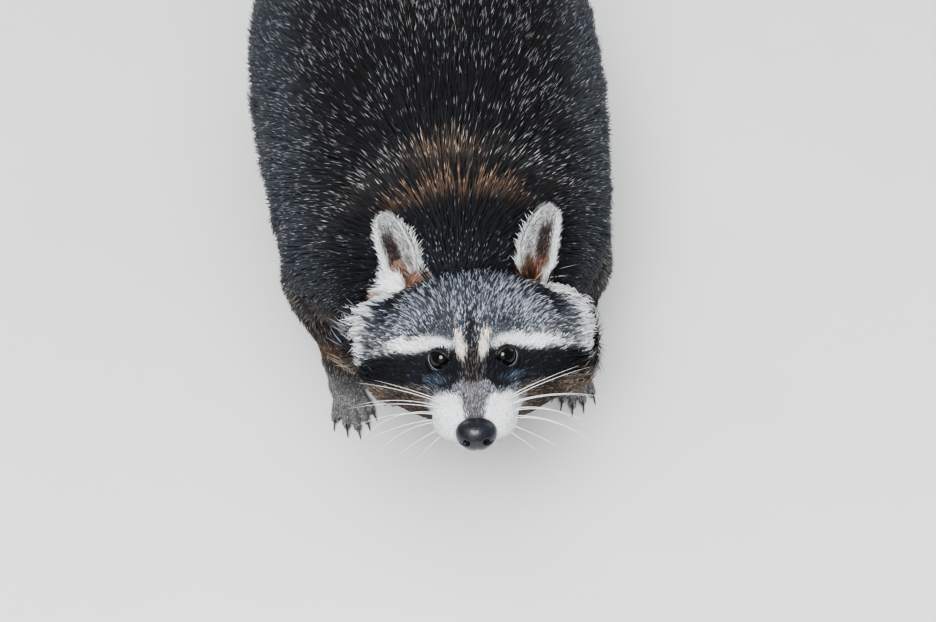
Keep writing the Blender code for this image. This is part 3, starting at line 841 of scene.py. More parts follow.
@dataclass
class Skin:
    """The one skin of the whole animal, under its coat; sizes in millimetres.

    Attributes:
        anatomy: The animal's sizes.
        face_forms: Swellings and hollows of the face: centre on the left, height, spread.
        face_axis: How far under the eyes the axis lies that they push out from.
        head_coat: Places from the nose back, and how deep the head's coat is there.
        jaw_coat: How deep the lower jaw's coat is.
        leg_coat: How deep a leg's coat is at its top, and how much it loses by the foot.
        brow_reach: How far before and behind the eyes the brow's coat is thinner.
        lid_radius: Outside of the lids, over the eyeball's middle.
        socket_room: How far the socket stands off the eyeball.
        opening: Half width and height of the gap between the lids.
        round_steps: How finely the forms round the eyes are made.
        ear_thick: Half the thickness of an ear's leaf.
        toe_rows: Share of a toe's length, height over the floor, share of its radius.
        body_voxel: How fine the trunk is.
        foot_voxel: How fine the feet are.
    """

    anatomy: Anatomy
    face_forms: tuple[tuple[Triple, float, float], ...] = (
        ((17, -44, -23), 3.5, 8),
        ((21, 6, 17), 3.0, 8),
        ((24, -9, 0), -8.0, 11),
        ((46, 16, -14), 2.0, 14),
        ((0, -8, 10), -2.0, 9),
        ((0, -47, -33), -1.8, 3),
    )
    face_axis: float = 8.0
    head_coat: Rows = ((-60, -40, -20, -4, 12, 34, 60), (0.8, 1.2, 1.8, 2.6, 4.6, 6.5, 8))
    jaw_coat: float = 1.2
    leg_coat: tuple[float, float] = (6.5, 4.2)
    brow_reach: float = 16.0
    lid_radius: float = 10.3
    socket_room: float = 0.25
    opening: tuple[float, float] = (9.1, 9.0)
    round_steps: int = 44
    ear_thick: float = 1.1
    toe_rows: Rows = ((-0.3, 1, 1), (0.3, 2.4, 1), (0.7, 1.2, 0.95), (0.92, 0.2, 0.8), (1, 0, 0.5))
    body_voxel: float = 3.6
    foot_voxel: float = 1.15

    def opening_edge(self, turn: Array) -> Array:
        """How far from the gaze the lids' edge lies, in radians, at angles round it.

        Args:
            turn: The angles.

        Returns:
            One angle off the gaze for each.
        """
        wide, high = self.opening
        radius, lid = self.anatomy.eye_radius, self.lid_radius
        g = lid**2 * (np.cos(turn) ** 2 / wide**2 + np.sin(turn) ** 2 / high**2)
        ratio = lid / radius
        a, b = ratio**2 - g, -2 * ratio
        return np.arccos((-b - np.sqrt(b * b - 4 * a * g)) / (2 * a))

    def in_gap(self, face: Array, side: Side, grow: float) -> Array:
        """Whether points of the head's frame lie in the gap between an eye's lids.

        Args:
            face: Rows in the head's frame.
            side: Which eye.
            grow: How far past the gap's own edge still counts, as a share of it.

        Returns:
            One truth a point.
        """
        body = self.anatomy
        off, gaze = face - body.eye(side), body.gaze(side)
        ahead = off @ gaze
        beside = np.linalg.norm(off - ahead[:, None] * gaze, axis=1)
        sunk = (ahead - body.eye_radius) / body.eye_radius
        return np.hypot(beside / (sum(self.opening) / 2), sunk) < 1 + grow

    def head_inset(self, back: Array) -> Array:
        """How deep the coat of the head is, from the nose back."""
        return np.interp(back, *self.head_coat)

    def shaped(self, points: Array) -> Array:
        """Raise and hollow points of the head by the face's forms.

        Args:
            points: Rows in the head's frame.

        Returns:
            The moved rows.
        """
        out = unit(np.stack((points[:, 0], 0 * points[:, 0], points[:, 2] + self.face_axis), -1))
        push = np.zeros(len(points))
        for centre, height, spread in self.face_forms:
            for side in (1, -1) if centre[0] else (1,):
                gap = ((points - np.array(centre) * (side, 1, 1)) ** 2).sum(-1)
                push += height * np.exp(-gap / (2 * spread**2))
        return points + out * push[:, None]

    def build_head(self) -> Piece:
        """Skull, muzzle, lids and sockets, with the jaw under them.

        Returns:
            The closed form.
        """
        body = self.anatomy

        def head(along: Array, turn: Array) -> Array:
            """Points of the head, closer together at the nose.

            Args:
                along: Shares from the nose back.
                turn: Shares round it.

            Returns:
                The points.
            """
            low, high = body.head.rows[0][0], body.head.rows[-1][0]
            y = low + (high - low) * along**1.15
            inset = self.head_inset(y)
            brow = (np.abs(y) < self.brow_reach) & (np.sin(turn * TURN) > 0)
            inset = np.where(brow, inset * 0.8, inset)
            return body.from_head(self.shaped(body.head.point(y, turn * TURN, inset)))

        def jaw(along: Array, turn: Array) -> Array:
            """Points of the lower jaw."""
            low, high = body.jaw.rows[0][0], body.jaw.rows[-1][0]
            y = low + (high - low) * along
            return body.from_head(body.jaw.point(y, turn * TURN, self.jaw_coat))

        made = add_piece("head_form", wrapped(150, 150, head))
        turn, steps = body.head_turn(), self.round_steps
        lids, sockets = [], []
        for side in Side:
            centre = body.from_head(body.eye(side)) / MM
            lid = rounded(centre, (self.lid_radius,) * 3, turn, steps)
            lids.append(add_piece("lid", lid))
            room = body.eye_radius + self.socket_room
            socket = rounded(centre, (room,) * 3, turn, steps)
            gaze = body.turn_from_head(body.gaze(side))
            front = centre + gaze * body.eye_radius
            aim = Vector(gaze).to_track_quat("Z", "Y").to_matrix()
            gap = rounded(front, (*self.opening, body.eye_radius), aim, steps)
            sockets += [add_piece("socket", socket), add_piece("gap", gap)]
        join_forms(made, [*lids, add_piece("jaw_form", wrapped(40, 48, jaw))], "UNION")
        join_forms(made, sockets, "DIFFERENCE")
        return made

    def build_ear(self, side: Side) -> Piece:
        """One ear's leaf, thin at the rim.

        Args:
            side: Which ear.

        Returns:
            The closed form.
        """
        leaf = self.anatomy.ears[side]

        def shell(rise: Array, turn: Array) -> Array:
            """Points round the leaf, from its root in the head to its tip.

            Args:
                rise: Shares up it.
                turn: Shares round it.

            Returns:
                The points.
            """
            wrap = turn * TURN
            height = -0.15 + 1.14 * np.sin(rise * math.pi / 2)
            _, _, _, back = leaf.axes()
            thick = self.ear_thick * np.sin(wrap) * np.sqrt(np.clip(1.02 - rise**4, 0, 1))
            found = leaf.point(np.cos(wrap), height, 1.6) + back * thick[:, None]
            return self.anatomy.from_head(found)

        return add_piece("ear_form", wrapped(44, 56, shell))

    def tube_form(self, tube: Tube, inset: Inset, rows: int, columns: int) -> Piece:
        """A leg, a toe or the tail without its coat.

        Args:
            tube: The form out to its coat's tips.
            inset: The coat's depth at distances along it.
            rows: Steps along it.
            columns: Steps round it.

        Returns:
            The closed form.
        """

        def place(along: Array, turn: Array) -> Array:
            """Points at shares along the tube and round it."""
            far = along * tube.length
            return self.anatomy.from_body(tube.point(far, turn * TURN, inset(far)))

        return add_piece("tube_form", wrapped(rows, columns, place))

    def build_leg(self, front: bool, side: Side) -> Piece:
        """One leg above its foot.

        Args:
            front: Whether it is a foreleg.
            side: The animal's left or right.

        Returns:
            The closed form.
        """
        tube = Tube(self.anatomy.leg_rows(front, side))

        def depth(far: Array) -> Array:
            """The coat's depth, thinner towards the foot."""
            return self.leg_coat[0] - self.leg_coat[1] * (far / tube.length) ** 0.7

        return self.tube_form(tube, depth, 50, 36)

    def build_body(self) -> Piece:
        """Trunk, neck, legs and tail in one even surface.

        Returns:
            The closed form.
        """
        body = self.anatomy
        low, high = body.trunk.rows[0][0], body.trunk.rows[-1][0] - body.coat_depth / 2

        def trunk(along: Array, turn: Array) -> Array:
            """Points of the trunk and the neck."""
            y = low + (high - low) * along
            return body.from_body(body.trunk.point(y, turn * TURN, body.coat_depth))

        def depth(far: Array) -> Array:
            """The depth of the tail's coat."""
            return np.minimum(body.coat_depth, 0.55 * body.tail.read(far, 3))

        made = add_piece("body_form", wrapped(80, 90, trunk))
        forms = [self.build_leg(front, side) for front in (True, False) for side in Side]
        forms.append(self.tube_form(body.tail, depth, 90, 40))
        join_forms(made, forms, "UNION")
        return remesh(made, self.body_voxel, 6)

    def build_foot(self, front: bool, side: Side) -> Piece:
        """One foot: palm, ankle and toes, flat on the floor.

        Args:
            front: Whether it is a forefoot.
            side: The animal's left or right.

        Returns:
            The closed form.
        """
        body = self.anatomy
        plan, rows = body.foot(front), body.leg_rows(front, side)
        frame = FootFrame.of(body, front, side)
        centre = frame.middle + np.array((0, 0, plan.height * 0.70))
        halves = (plan.half_width - 0.8, plan.length * 0.61, plan.height * 0.74)
        turn = Matrix.Rotation(frame.turn, 3, "Z")
        made = add_piece("foot_form", rounded(body.from_body(centre) / MM, halves, turn, 36))
        above, ankle = np.array(rows[-2][:3], float), np.array(rows[-1][:3], float)
        radius = rows[-1][3] - 2.4
        low = np.array((ankle[0], ankle[1] - 3, plan.height * 0.6))
        high = ankle + (above - ankle) * 0.35
        stem = Tube(((*high, radius), (*((ankle + low) / 2), radius), (*low, radius * 0.9)))
        forms = [self.tube_form(stem, np.zeros_like, 20, 28)]
        for start, heading, reach in frame.toe_roots(plan, side):
            path = []
            for share, lift, thick in self.toe_rows:
                x, y, _ = start + heading * (reach * share)
                path.append((x, y, plan.toe * 0.95 + lift, (plan.toe - 0.5) * thick))
            forms.append(self.tube_form(Tube(tuple(path)), np.zeros_like, 26, 16))
        join_forms(made, forms, "UNION")
        remesh(made, self.foot_voxel, 4)
        points = vertex_array(made.data)
        points[:, 2] = np.maximum(points[:, 2], 0.0)
        made.data.vertices.foreach_set("co", points.ravel().astype(np.float32))
        return made

    def build(self) -> Piece:
        """The whole skin, as one closed surface.

        Returns:
            The piece.
        """
        skin = self.build_body()
        forms = [self.build_head(), *(self.build_ear(side) for side in Side)]
        forms += [self.build_foot(front, side) for front in (True, False) for side in Side]
        join_forms(skin, forms, "UNION")
        skin.name = skin.data.name = "skin"
        skin.data.shade_smooth()
        for name in ("head", "neck", "torso", "tail", "lower_jaw", "ear_left", "ear_right"):
            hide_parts(name)
        for front in ("fore", "hind"):
            for side in Side:
                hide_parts(f"{front}leg_{side.word}", f"{front}foot_{side.word}")
        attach(skin, "root")
        return skin


@dataclass(frozen=True)
class FootFrame:
    """Where a foot stands and which way it points, in the tables' frame.

    Attributes:
        heel: The heel's place on the floor.
        middle: The palm's.
        ahead: Which way the toes point.
        across: Towards the animal's left.
        turn: How far the foot is turned, in radians.
    """

    heel: Array
    middle: Array
    ahead: Array
    across: Array
    turn: float

    @staticmethod
    def of(body: Anatomy, front: bool, side: Side) -> FootFrame:
        """The frame of one foot.

        Args:
            body: The animal's sizes.
            front: Whether it is a forefoot.
            side: The animal's left or right.

        Returns:
            The foot's frame.
        """
        plan = body.foot(front)
        ankle = body.leg_rows(front, side)[-1]
        turn = math.radians(plan.turn) * side.value
        ahead = np.array((math.sin(turn), -math.cos(turn), 0.0))
        across = np.array((math.cos(turn), math.sin(turn), 0.0))
        heel = np.array((ankle[0], ankle[1] + 2, 0.0))
        return FootFrame(heel, heel + ahead * (plan.length / 2 - 4), ahead, across, turn)

    def toe_roots(self, plan: FootPlan, side: Side) -> list[tuple[Array, Array, float]]:
        """Where each toe leaves the palm.

        Args:
            plan: The foot's sizes.
            side: The animal's left or right.

        Returns:
            Each toe's root, direction and length.
        """
        front = self.heel + self.ahead * (plan.length - 4)
        found = []
        for angle, offset, reach in plan.toes:
            turn = np.array(Matrix.Rotation(math.radians(angle) * side.value, 3, "Z"))
            start = front + self.across * (offset * side.value)
            found.append((start - self.ahead * (abs(offset) * 0.35), turn @ self.ahead, reach))
        return found


def chain_depth(points: Array, chain: Rows) -> Array:
    """How deep points lie inside a band round a bent line.

    Args:
        points: Rows of x, y, z.
        chain: The line's x, y, z and the band's half width there.

    Returns:
        Depth under the band's edge, negative outside it.
    """
    best = np.full(len(points), -1e9)
    rows = np.array(chain, float)
    for near, far in zip(rows, rows[1:]):
        way = far[:3] - near[:3]
        share = np.clip((points - near[:3]) @ way / (way @ way), 0, 1)
        gap = np.linalg.norm(points - near[:3] - share[:, None] * way, axis=1)
        best = np.maximum(best, near[3] + (far[3] - near[3]) * share - gap)
    return best


@dataclass
class Tint:
    """The colours of a set of hairs or points.

    Attributes:
        base: Colour at the root and along the hair.
        tip: Colour of its outer part.
        share: How many of the hairs have that tip, from 0 to 1.
    """

    base: Array
    tip: Array
    share: Array

    @staticmethod
    def plain(count: int, base: Colour, tip: Colour, share: float) -> Tint:
        """One tint for all."""
        return Tint(np.tile(base, (count, 1)), np.tile(tip, (count, 1)), np.full(count, share))

    def lay(self, mask: Array, base: Colour, tip: Colour, share: float) -> None:
        """Paint another tint over this one.

        Args:
            mask: How much of it each point takes.
            base: Its base colour.
            tip: Its tip colour.
            share: Its share of pale tips.
        """
        part = mask[:, None]
        self.base = self.base * (1 - part) + np.array(base) * part
        self.tip = self.tip * (1 - part) + np.array(tip) * part
        self.share = self.share * (1 - mask) + share * mask

    def where(self, chosen: Array, other: Tint) -> None:
        """Take another tint where chosen."""
        self.base[chosen], self.tip[chosen] = other.base[chosen], other.tip[chosen]
        self.share[chosen] = other.share[chosen]


@dataclass(frozen=True)
class Markings:
    """The raccoon's markings, from places on its head and body.

    Each band is a bent line on the left of the face, in the head's frame, with its half
    width; the face's other side mirrors it.

    Attributes:
        black: The coat's darkest colour.
        white: Its lightest.
        cream: Of the strokes at the brows' inner ends.
        silver: Of the forehead's pale tips.
        slate: Of a few tips in the black.
        blue: A painted sheen on the tips of the black hair of the mask and behind the head.
        tan: Of the band across the nape.
        rust: Of the forelegs' patch.
        russet: Of the throat's tips.
        brown: Of the throat.
        mask: The dark band through the eye.
        brow: The white stripe over it.
        brow_mark: The short cream stroke at the brow's inner end.
        ruff: The white band outside the cheek.
        ruff_line: The thin dark line inside it.
        ear_base: The pale hair at the ear's root.
        mouth: The dark line of the mouth.
        muzzle: The white whisker pad.
        bridge: The grey bridge of the nose.
        stripe: The dark stripe up the forehead.
        under_eye: The bluish-grey patch under the eye.
        inner_eye: The black beside the eye's inner corner.
        ragged: Strength, patch width and seed of each noise in a band's edge.
    """

    black: Colour = (0.011, 0.0112, 0.0125)
    white: Colour = (0.80, 0.79, 0.77)
    cream: Colour = (0.66, 0.56, 0.47)
    silver: Colour = (0.28, 0.292, 0.33)
    slate: Colour = (0.050, 0.058, 0.075)
    blue: Colour = (0.055, 0.072, 0.105)
    tan: Colour = (0.29, 0.205, 0.148)
    rust: Colour = (0.125, 0.062, 0.034)
    russet: Colour = (0.17, 0.118, 0.088)
    brown: Colour = (0.030, 0.0235, 0.0205)
    mask: Rows = (
        (15, -23, -6, 6), (20, -12, -2, 10.5), (33, -2, -3, 11.5), (46, 4, -5, 10.5),
        (60, 18, -11, 10.5), (75, 38, -19, 9.5), (82, 48, -22, 7),
    )
    brow: Rows = (
        (14.5, -2, 14, 2.2), (22, 0, 14.5, 4.0), (31, 2.5, 13.8, 4.7), (42, 7, 11, 4.5),
        (57, 19, 4.5, 3.8), (71, 32, -4.0, 2.8),
    )
    brow_mark: Rows = ((9.5, 4, 21, 2.6), (8.4, -1, 16, 3.0), (6.6, -7.5, 7, 2.0))
    ruff: Rows = (
        (51, 67, 30, 7.5), (60, 61, 26, 10.5), (68, 55, 18, 12.5), (75, 48, 9, 12.5),
        (80, 42, -2, 11.5), (83, 38, -10, 7),
    )
    ruff_line: Rows = (
        (49, 46, 30, 4.5), (56, 39, 24.5, 5.2), (60.5, 34, 18, 5.2), (64, 32, 11.5, 4.4),
        (67, 31, 5.5, 3.4),
    )
    ear_base: Rows = ((42, 54, 36, 6), (48, 60, 34, 7), (57, 56, 30, 5))
    mouth: Rows = (
        (0, -58, -30, 1.9), (9, -53, -31.5, 2.0), (16, -42, -33.5, 2.0),
        (20, -28, -35.5, 2.0), (24, -14, -37.5, 1.4),
    )
    muzzle: Rows = (
        (12, -58, -21, 8), (14, -51, -17, 9), (17.5, -41, -14, 10.6), (24, -29, -21, 10.5),
        (28, -20, -28, 8),
    )
    bridge: Rows = ((0, -27, -2, 8), (0, -36, -5, 5.6), (0, -53, -11, 6.0))
    stripe: Rows = (
        (0, -20, -1, 8), (0, -13, 4, 7), (0, -6, 11, 5.2), (0, 6, 24, 4.6), (0, 20, 36, 4.2),
        (0, 46, 43, 6), (0, 74, 44, 10),
    )
    under_eye: Rows = ((17, -19, -5, 2.6), (24, -14, -6, 3.4), (31, -8, -7, 2.6))
    inner_eye: Rows = ((12, -5, 8, 4.2), (11, -13, 2, 5.0), (13.5, -21, -4, 5.6))
    ragged: Rows = ((1.1, 4.5, 31), (0.7, 2.2, 32))

    def band(self, points: Array, chain: Rows, edge: float = 2.4) -> Array:
        """A soft mask of one marking on both sides of the face.

        Args:
            points: Rows in the head's frame.
            chain: The marking's band.
            edge: How wide its soft edge is.

        Returns:
            The mask, from 0 to 1.
        """
        mirrored = points * 1.0
        mirrored[:, 0] = np.abs(mirrored[:, 0])
        noises = [power * value_noise(points, size, seed) for power, size, seed in self.ragged]
        return smooth(-edge / 2, edge / 2, chain_depth(mirrored, chain) + sum(noises))

    def head(self, points: Array) -> Tint:
        """The tints of the head.

        Args:
            points: Rows in the head's frame.

        Returns:
            Their tints.
        """
        x, y, z = np.abs(points[:, 0]), points[:, 1], points[:, 2]
        mottle = value_noise(points, 8, 21) + 0.6 * value_noise(points, 4, 22)
        tint = Tint.plain(len(points), (0.046, 0.048, 0.056), self.silver, 0.60)
        tint.share = np.clip(tint.share + 0.30 * mottle, 0.08, 0.9)
        cheek = smooth(30, 58, x) * smooth(26, 4, z)
        tint.lay(cheek, (0.10, 0.102, 0.11), (0.50, 0.50, 0.53), 0.7)
        crown = smooth(24, 60, y + 0.10 * x + 6 * value_noise(points, 14, 3))
        tint.lay(crown * 0.9, (0.016, 0.0165, 0.019), (0.21, 0.23, 0.27), 0.40)
        tint.lay(smooth(48, 66, y), self.black, (0.17, 0.19, 0.22), 0.20)
        temple = smooth(26, 40, y) * smooth(20, 30, x) * smooth(20, 30, z)
        tint.lay(temple * 0.6, self.black, self.silver, 0.25)
        stripe = self.band(points, self.stripe, 6) * (0.28 + 0.62 * smooth(24, 4, y))
        tint.lay(stripe, self.black, self.silver, 0.2)
        tint.lay(smooth(-8, -18, z) * smooth(-22, -10, y), self.brown, self.russet, 0.35)
        jowl = smooth(54, 68, x) * smooth(-14, -28, z)
        tint.lay(jowl, (0.13, 0.10, 0.08), (0.44, 0.37, 0.31), 0.4)
        # Painted sheen: a few of the black mask's tips take a bluish colour.
        tint.lay(self.band(points, self.mask), self.black, self.blue, 0.06)
        tint.lay(self.band(points, self.inner_eye, 3), self.black, self.slate, 0.12)
        under = self.band(points, self.under_eye, 4) * 0.75
        tint.lay(under, (0.032, 0.040, 0.056), (0.18, 0.20, 0.25), 0.30)
        tint.lay(self.band(points, self.brow, 9) * 0.7, (0.25, 0.25, 0.255), self.white, 0.6)
        tint.lay(self.band(points, self.brow, 4), self.white, self.white, 0.5)
        snout = smooth(-6, -24, y + 3 * mottle) * smooth(-17, -23, z)
        tint.lay(snout, (0.17, 0.155, 0.145), (0.46, 0.43, 0.40), 0.55)
        chin = smooth(-35, -40, z) * smooth(-44, -24, y + 4 * mottle)
        pads = np.maximum(snout * (1 - chin), self.band(points, self.muzzle, 3.4))
        tint.lay(pads, self.white, self.white, 0.5)
        lips = self.band(points, self.mouth, 2)
        tint.lay(lips, (0.05, 0.04, 0.036), (0.09, 0.08, 0.075), 0.3)
        bridge = self.band(points, self.bridge, 4)
        tint.lay(bridge, (0.095, 0.088, 0.087), (0.25, 0.24, 0.24), 0.5)
        low = self.band(points, self.stripe, 4) * smooth(4, -6, y)
        tint.lay(low, (0.015, 0.013, 0.0125), (0.12, 0.11, 0.105), 0.22)
        tint.lay(self.band(points, self.brow_mark, 2.2), self.cream, (0.78, 0.70, 0.60), 0.5)
        tint.lay(self.band(points, self.ruff_line, 3), self.black, self.slate, 0.1)
        # Painted sheen: the black behind the head has bluish pale tips.
        behind = smooth(62, 74, y) * smooth(54, 40, x) + smooth(64, 74, y) * smooth(26, 12, z)
        tint.lay(np.clip(behind, 0, 1), self.black, self.blue, 0.3)
        ear_root = self.band(points, self.ear_base, 3)
        tint.lay(ear_root, (0.15, 0.09, 0.066), (0.52, 0.42, 0.36), 0.5)
        tint.lay(self.band(points, self.ruff, 4), self.white, self.white, 0.6)
        return tint

    def body(self, points: Array) -> Tint:
        """The tints of trunk, neck, legs and tail.

        Args:
            points: Rows in the tables' frame.

        Returns:
            Their tints.
        """
        x, y, z = points.T
        aside = np.abs(x)
        tint = Tint.plain(len(points), (0.0105, 0.0100, 0.0107), (0.155, 0.152, 0.153), 0.50)
        patches = value_noise(points, 30, 5) * 0.6 + value_noise(points, 12, 6) * 0.6
        tint.share = np.clip(tint.share + 0.75 * patches, 0.04, 0.9)
        # Painted sheen: the body's sides take a lighter bluish grey, where the hair is seen
        # edge-on.
        flank_sheen = smooth(64, 112, aside) * smooth(236, 150, z - 0.1 * aside)
        side = np.maximum(flank_sheen, smooth(84, 122, aside))
        tint.lay(side * 0.85, (0.040, 0.0435, 0.051), (0.18, 0.19, 0.215), 0.5)
        tint.lay(smooth(112, 84, z), (0.055, 0.046, 0.040), (0.22, 0.19, 0.17), 0.45)
        self.nape(tint, points)
        hackle = smooth(96, 80, y) * smooth(52, 34, aside) * smooth(160, 180, z)
        tint.lay(hackle * 0.9, (0.012, 0.0125, 0.0145), (0.21, 0.225, 0.265), 0.55)
        tint.lay(smooth(118, 92, y) * smooth(142, 118, z), self.brown, self.russet, 0.4)
        return tint

    def nape(self, tint: Tint, points: Array) -> None:
        """Paint the tan and pale bands that arch over the nape.

        Args:
            tint: The body's tints, which are painted over.
            points: Rows in the tables' frame.
        """
        x, y, z = points.T
        aside = np.abs(x)
        arc = y + 0.0035 * (x - 10) ** 2
        near = smooth(112, 60, aside) * smooth(140, 180, z)
        # Painted sheen: a few bluish tips on the black of the nape, next to the head.
        tint.lay(smooth(126, 114, arc) * near, self.black, (0.10, 0.12, 0.16), 0.16)
        first = smooth(7.5, 4, np.abs(arc - 124)) * near * smooth(66, 30, np.abs(x - 3))
        tint.lay(first, (0.075, 0.048, 0.034), self.tan, 0.85)
        tint.lay(smooth(5, 3, np.abs(arc - 134)) * near, self.black, self.black, 0.02)
        second = smooth(11, 6, np.abs(arc - 147)) * near
        middle, outer = second * smooth(44, 12, aside), second * smooth(10, 50, aside)
        tint.lay(middle, (0.055, 0.040, 0.031), (0.32, 0.25, 0.20), 0.7)
        tint.lay(outer, (0.022, 0.021, 0.021), (0.28, 0.27, 0.262), 0.65)
        third = smooth(9, 3, np.abs(arc - 166)) * near * 0.8
        tint.lay(third, self.black, (0.2, 0.195, 0.19), 0.1)

    def tail(self, along: Array, length: float) -> Tint:
        """The rings of the tail.

        Args:
            along: Distances along it.
            length: How long it is.

        Returns:
            Their tints.
        """
        tint = Tint.plain(len(along), (0.046, 0.042, 0.040), (0.26, 0.245, 0.235), 0.45)
        share = along / length
        wave = np.cos((share - 0.155) * TURN / 0.148)
        rings = smooth(-0.05, 0.35, wave) * smooth(0.07, 0.13, share)
        tint.lay(smooth(0.02, 0.11, share), (0.19, 0.15, 0.115), (0.40, 0.335, 0.27), 0.6)
        tint.lay(rings, self.black, (0.04, 0.036, 0.034), 0.2)
        tint.lay(smooth(0.86, 0.90, share), self.black, self.slate, 0.1)
        return tint

    def leg(self, points: Array, front: Array) -> Tint:
        """The tints of the legs and feet.

        Args:
            points: Rows in the tables' frame.
            front: Whether each is on a foreleg.

        Returns:
            Their tints.
        """
        z = points[:, 2]
        tint = self.body(points)
        below = smooth(150, 100, z + 18 * value_noise(points, 24, 9))
        tint.lay(below, (0.036, 0.032, 0.030), (0.165, 0.15, 0.14), 0.4)
        tint.lay(smooth(112, 80, z) * front, (0.022, 0.019, 0.019), (0.12, 0.10, 0.09), 0.3)
        patchy = smooth(-0.5, 0.4, value_noise(points, 16, 8) + 0.3)
        patch = smooth(62, 48, z) * smooth(24, 38, z) * patchy
        tint.lay(patch * front * 0.6, self.rust, (0.25, 0.155, 0.10), 0.45)
        tint.lay(smooth(36, 20, z) * 0.6, (0.07, 0.064, 0.062), (0.30, 0.285, 0.27), 0.45)
        tint.lay(smooth(20, 10, z), (0.15, 0.14, 0.135), (0.52, 0.51, 0.50), 0.6)
        return tint

    def ear(self, across: Array, rise: Array, facing: Array, depth: Array) -> Tint:
        """The tints of an ear.

        Args:
            across: From -1 at the inner rim to 1 at the outer.
            rise: From 0 at the root to 1 at the tip.
            facing: 1 on the hollow front and -1 on the back.
            depth: How near the rim, from 0 in the middle to 1 at the edge.

        Returns:
            Their tints.
        """
        count = len(across)
        tint = Tint.plain(count, (0.15, 0.143, 0.138), (0.55, 0.54, 0.53), 0.55)
        fringe = smooth(-0.2, -0.5, across) * smooth(0.2, 0.4, rise)
        tint.lay(fringe, (0.13, 0.125, 0.12), (0.66, 0.65, 0.63), 0.6)
        hollow = smooth(-0.25, 0.1, across) * smooth(0.78, 0.55, across) * smooth(0.12, 0.3, rise)
        hollow = hollow * smooth(0.84, 0.6, rise) * 0.95
        tint.lay(hollow, (0.018, 0.0115, 0.010), (0.11, 0.08, 0.068), 0.2)
        tint.lay(smooth(0.42, 0.2, rise), (0.085, 0.041, 0.028), (0.29, 0.17, 0.12), 0.36)
        back = Tint.plain(count, (0.030, 0.029, 0.030), (0.2, 0.2, 0.2), 0.3)
        back.lay(smooth(0.45, 0.8, rise), (0.30, 0.29, 0.28), (0.6, 0.6, 0.58), 0.5)
        tint.where(facing <= 0, back)
        root = smooth(0.0, 0.15, rise + np.where(across > 0, 0.05, -0.16))
        tint.lay(smooth(0.72, 0.84, depth) * root, self.white, self.white, 0.6)
        return tint


@dataclass(frozen=True)
class HairCut:
    """The hair of one stretch of the coat, in millimetres.

    Attributes:
        count: How many tufts.
        length: Of a tuft.
        lift: How high its tip stands over the skin.
        width: At its widest.
        pieces: How many pieces of the scene it is divided over.
        slot: The record's slot for those pieces; not used.
        drift: How far a tuft may take its colour from beside its own place.
        shown: Where along its outer half it takes its colour from, to 1 at the tip.
        long: Whether it is long hair, whose tips alone are pale.
    """

    count: int
    length: float
    lift: float
    width: float
    pieces: int
    slot: str
    drift: float = 0.4
    shown: float = 0.5
    long: bool = False


def winter_cuts() -> dict[Region, HairCut]:
    """The hair of each region."""
    return {
        Region.HEAD: HairCut(46000, 12, 4, 0.85, 3, "coat_face", 0.8),
        Region.EAR_LEFT: HairCut(7500, 7, 1.7, 0.42, 1, "coat_ear"),
        Region.EAR_RIGHT: HairCut(7500, 7, 1.7, 0.42, 1, "coat_ear"),
        Region.BODY: HairCut(57000, 34, 12, 1.15, 4, "coat_body", 1.2, 0.6, True),
        Region.TAIL: HairCut(12000, 36, 12, 1.5, 1, "coat_tail", 3.0, 0.6, True),
        Region.FORELEG: HairCut(6500, 17, 5, 1.05, 1, "coat_leg", 4),
        Region.HINDLEG: HairCut(7500, 19, 5, 1.15, 1, "coat_leg", 4),
        Region.FOOT: HairCut(8000, 3.6, 0.7, 0.5, 1, "foot"),
    }


@dataclass
class Roots:
    """Where the tufts grow.

    Attributes:
        point: On the skin, in the model's frame, in metres.
        normal: The skin's outward direction there.
        home: Place on an unwrap of the region's own shape: round it and along it.
    """

    point: Array
    normal: Array
    home: Array

    def take(self, chosen: Array) -> Roots:
        """Some of the roots."""
        return Roots(self.point[chosen], self.normal[chosen], self.home[chosen])


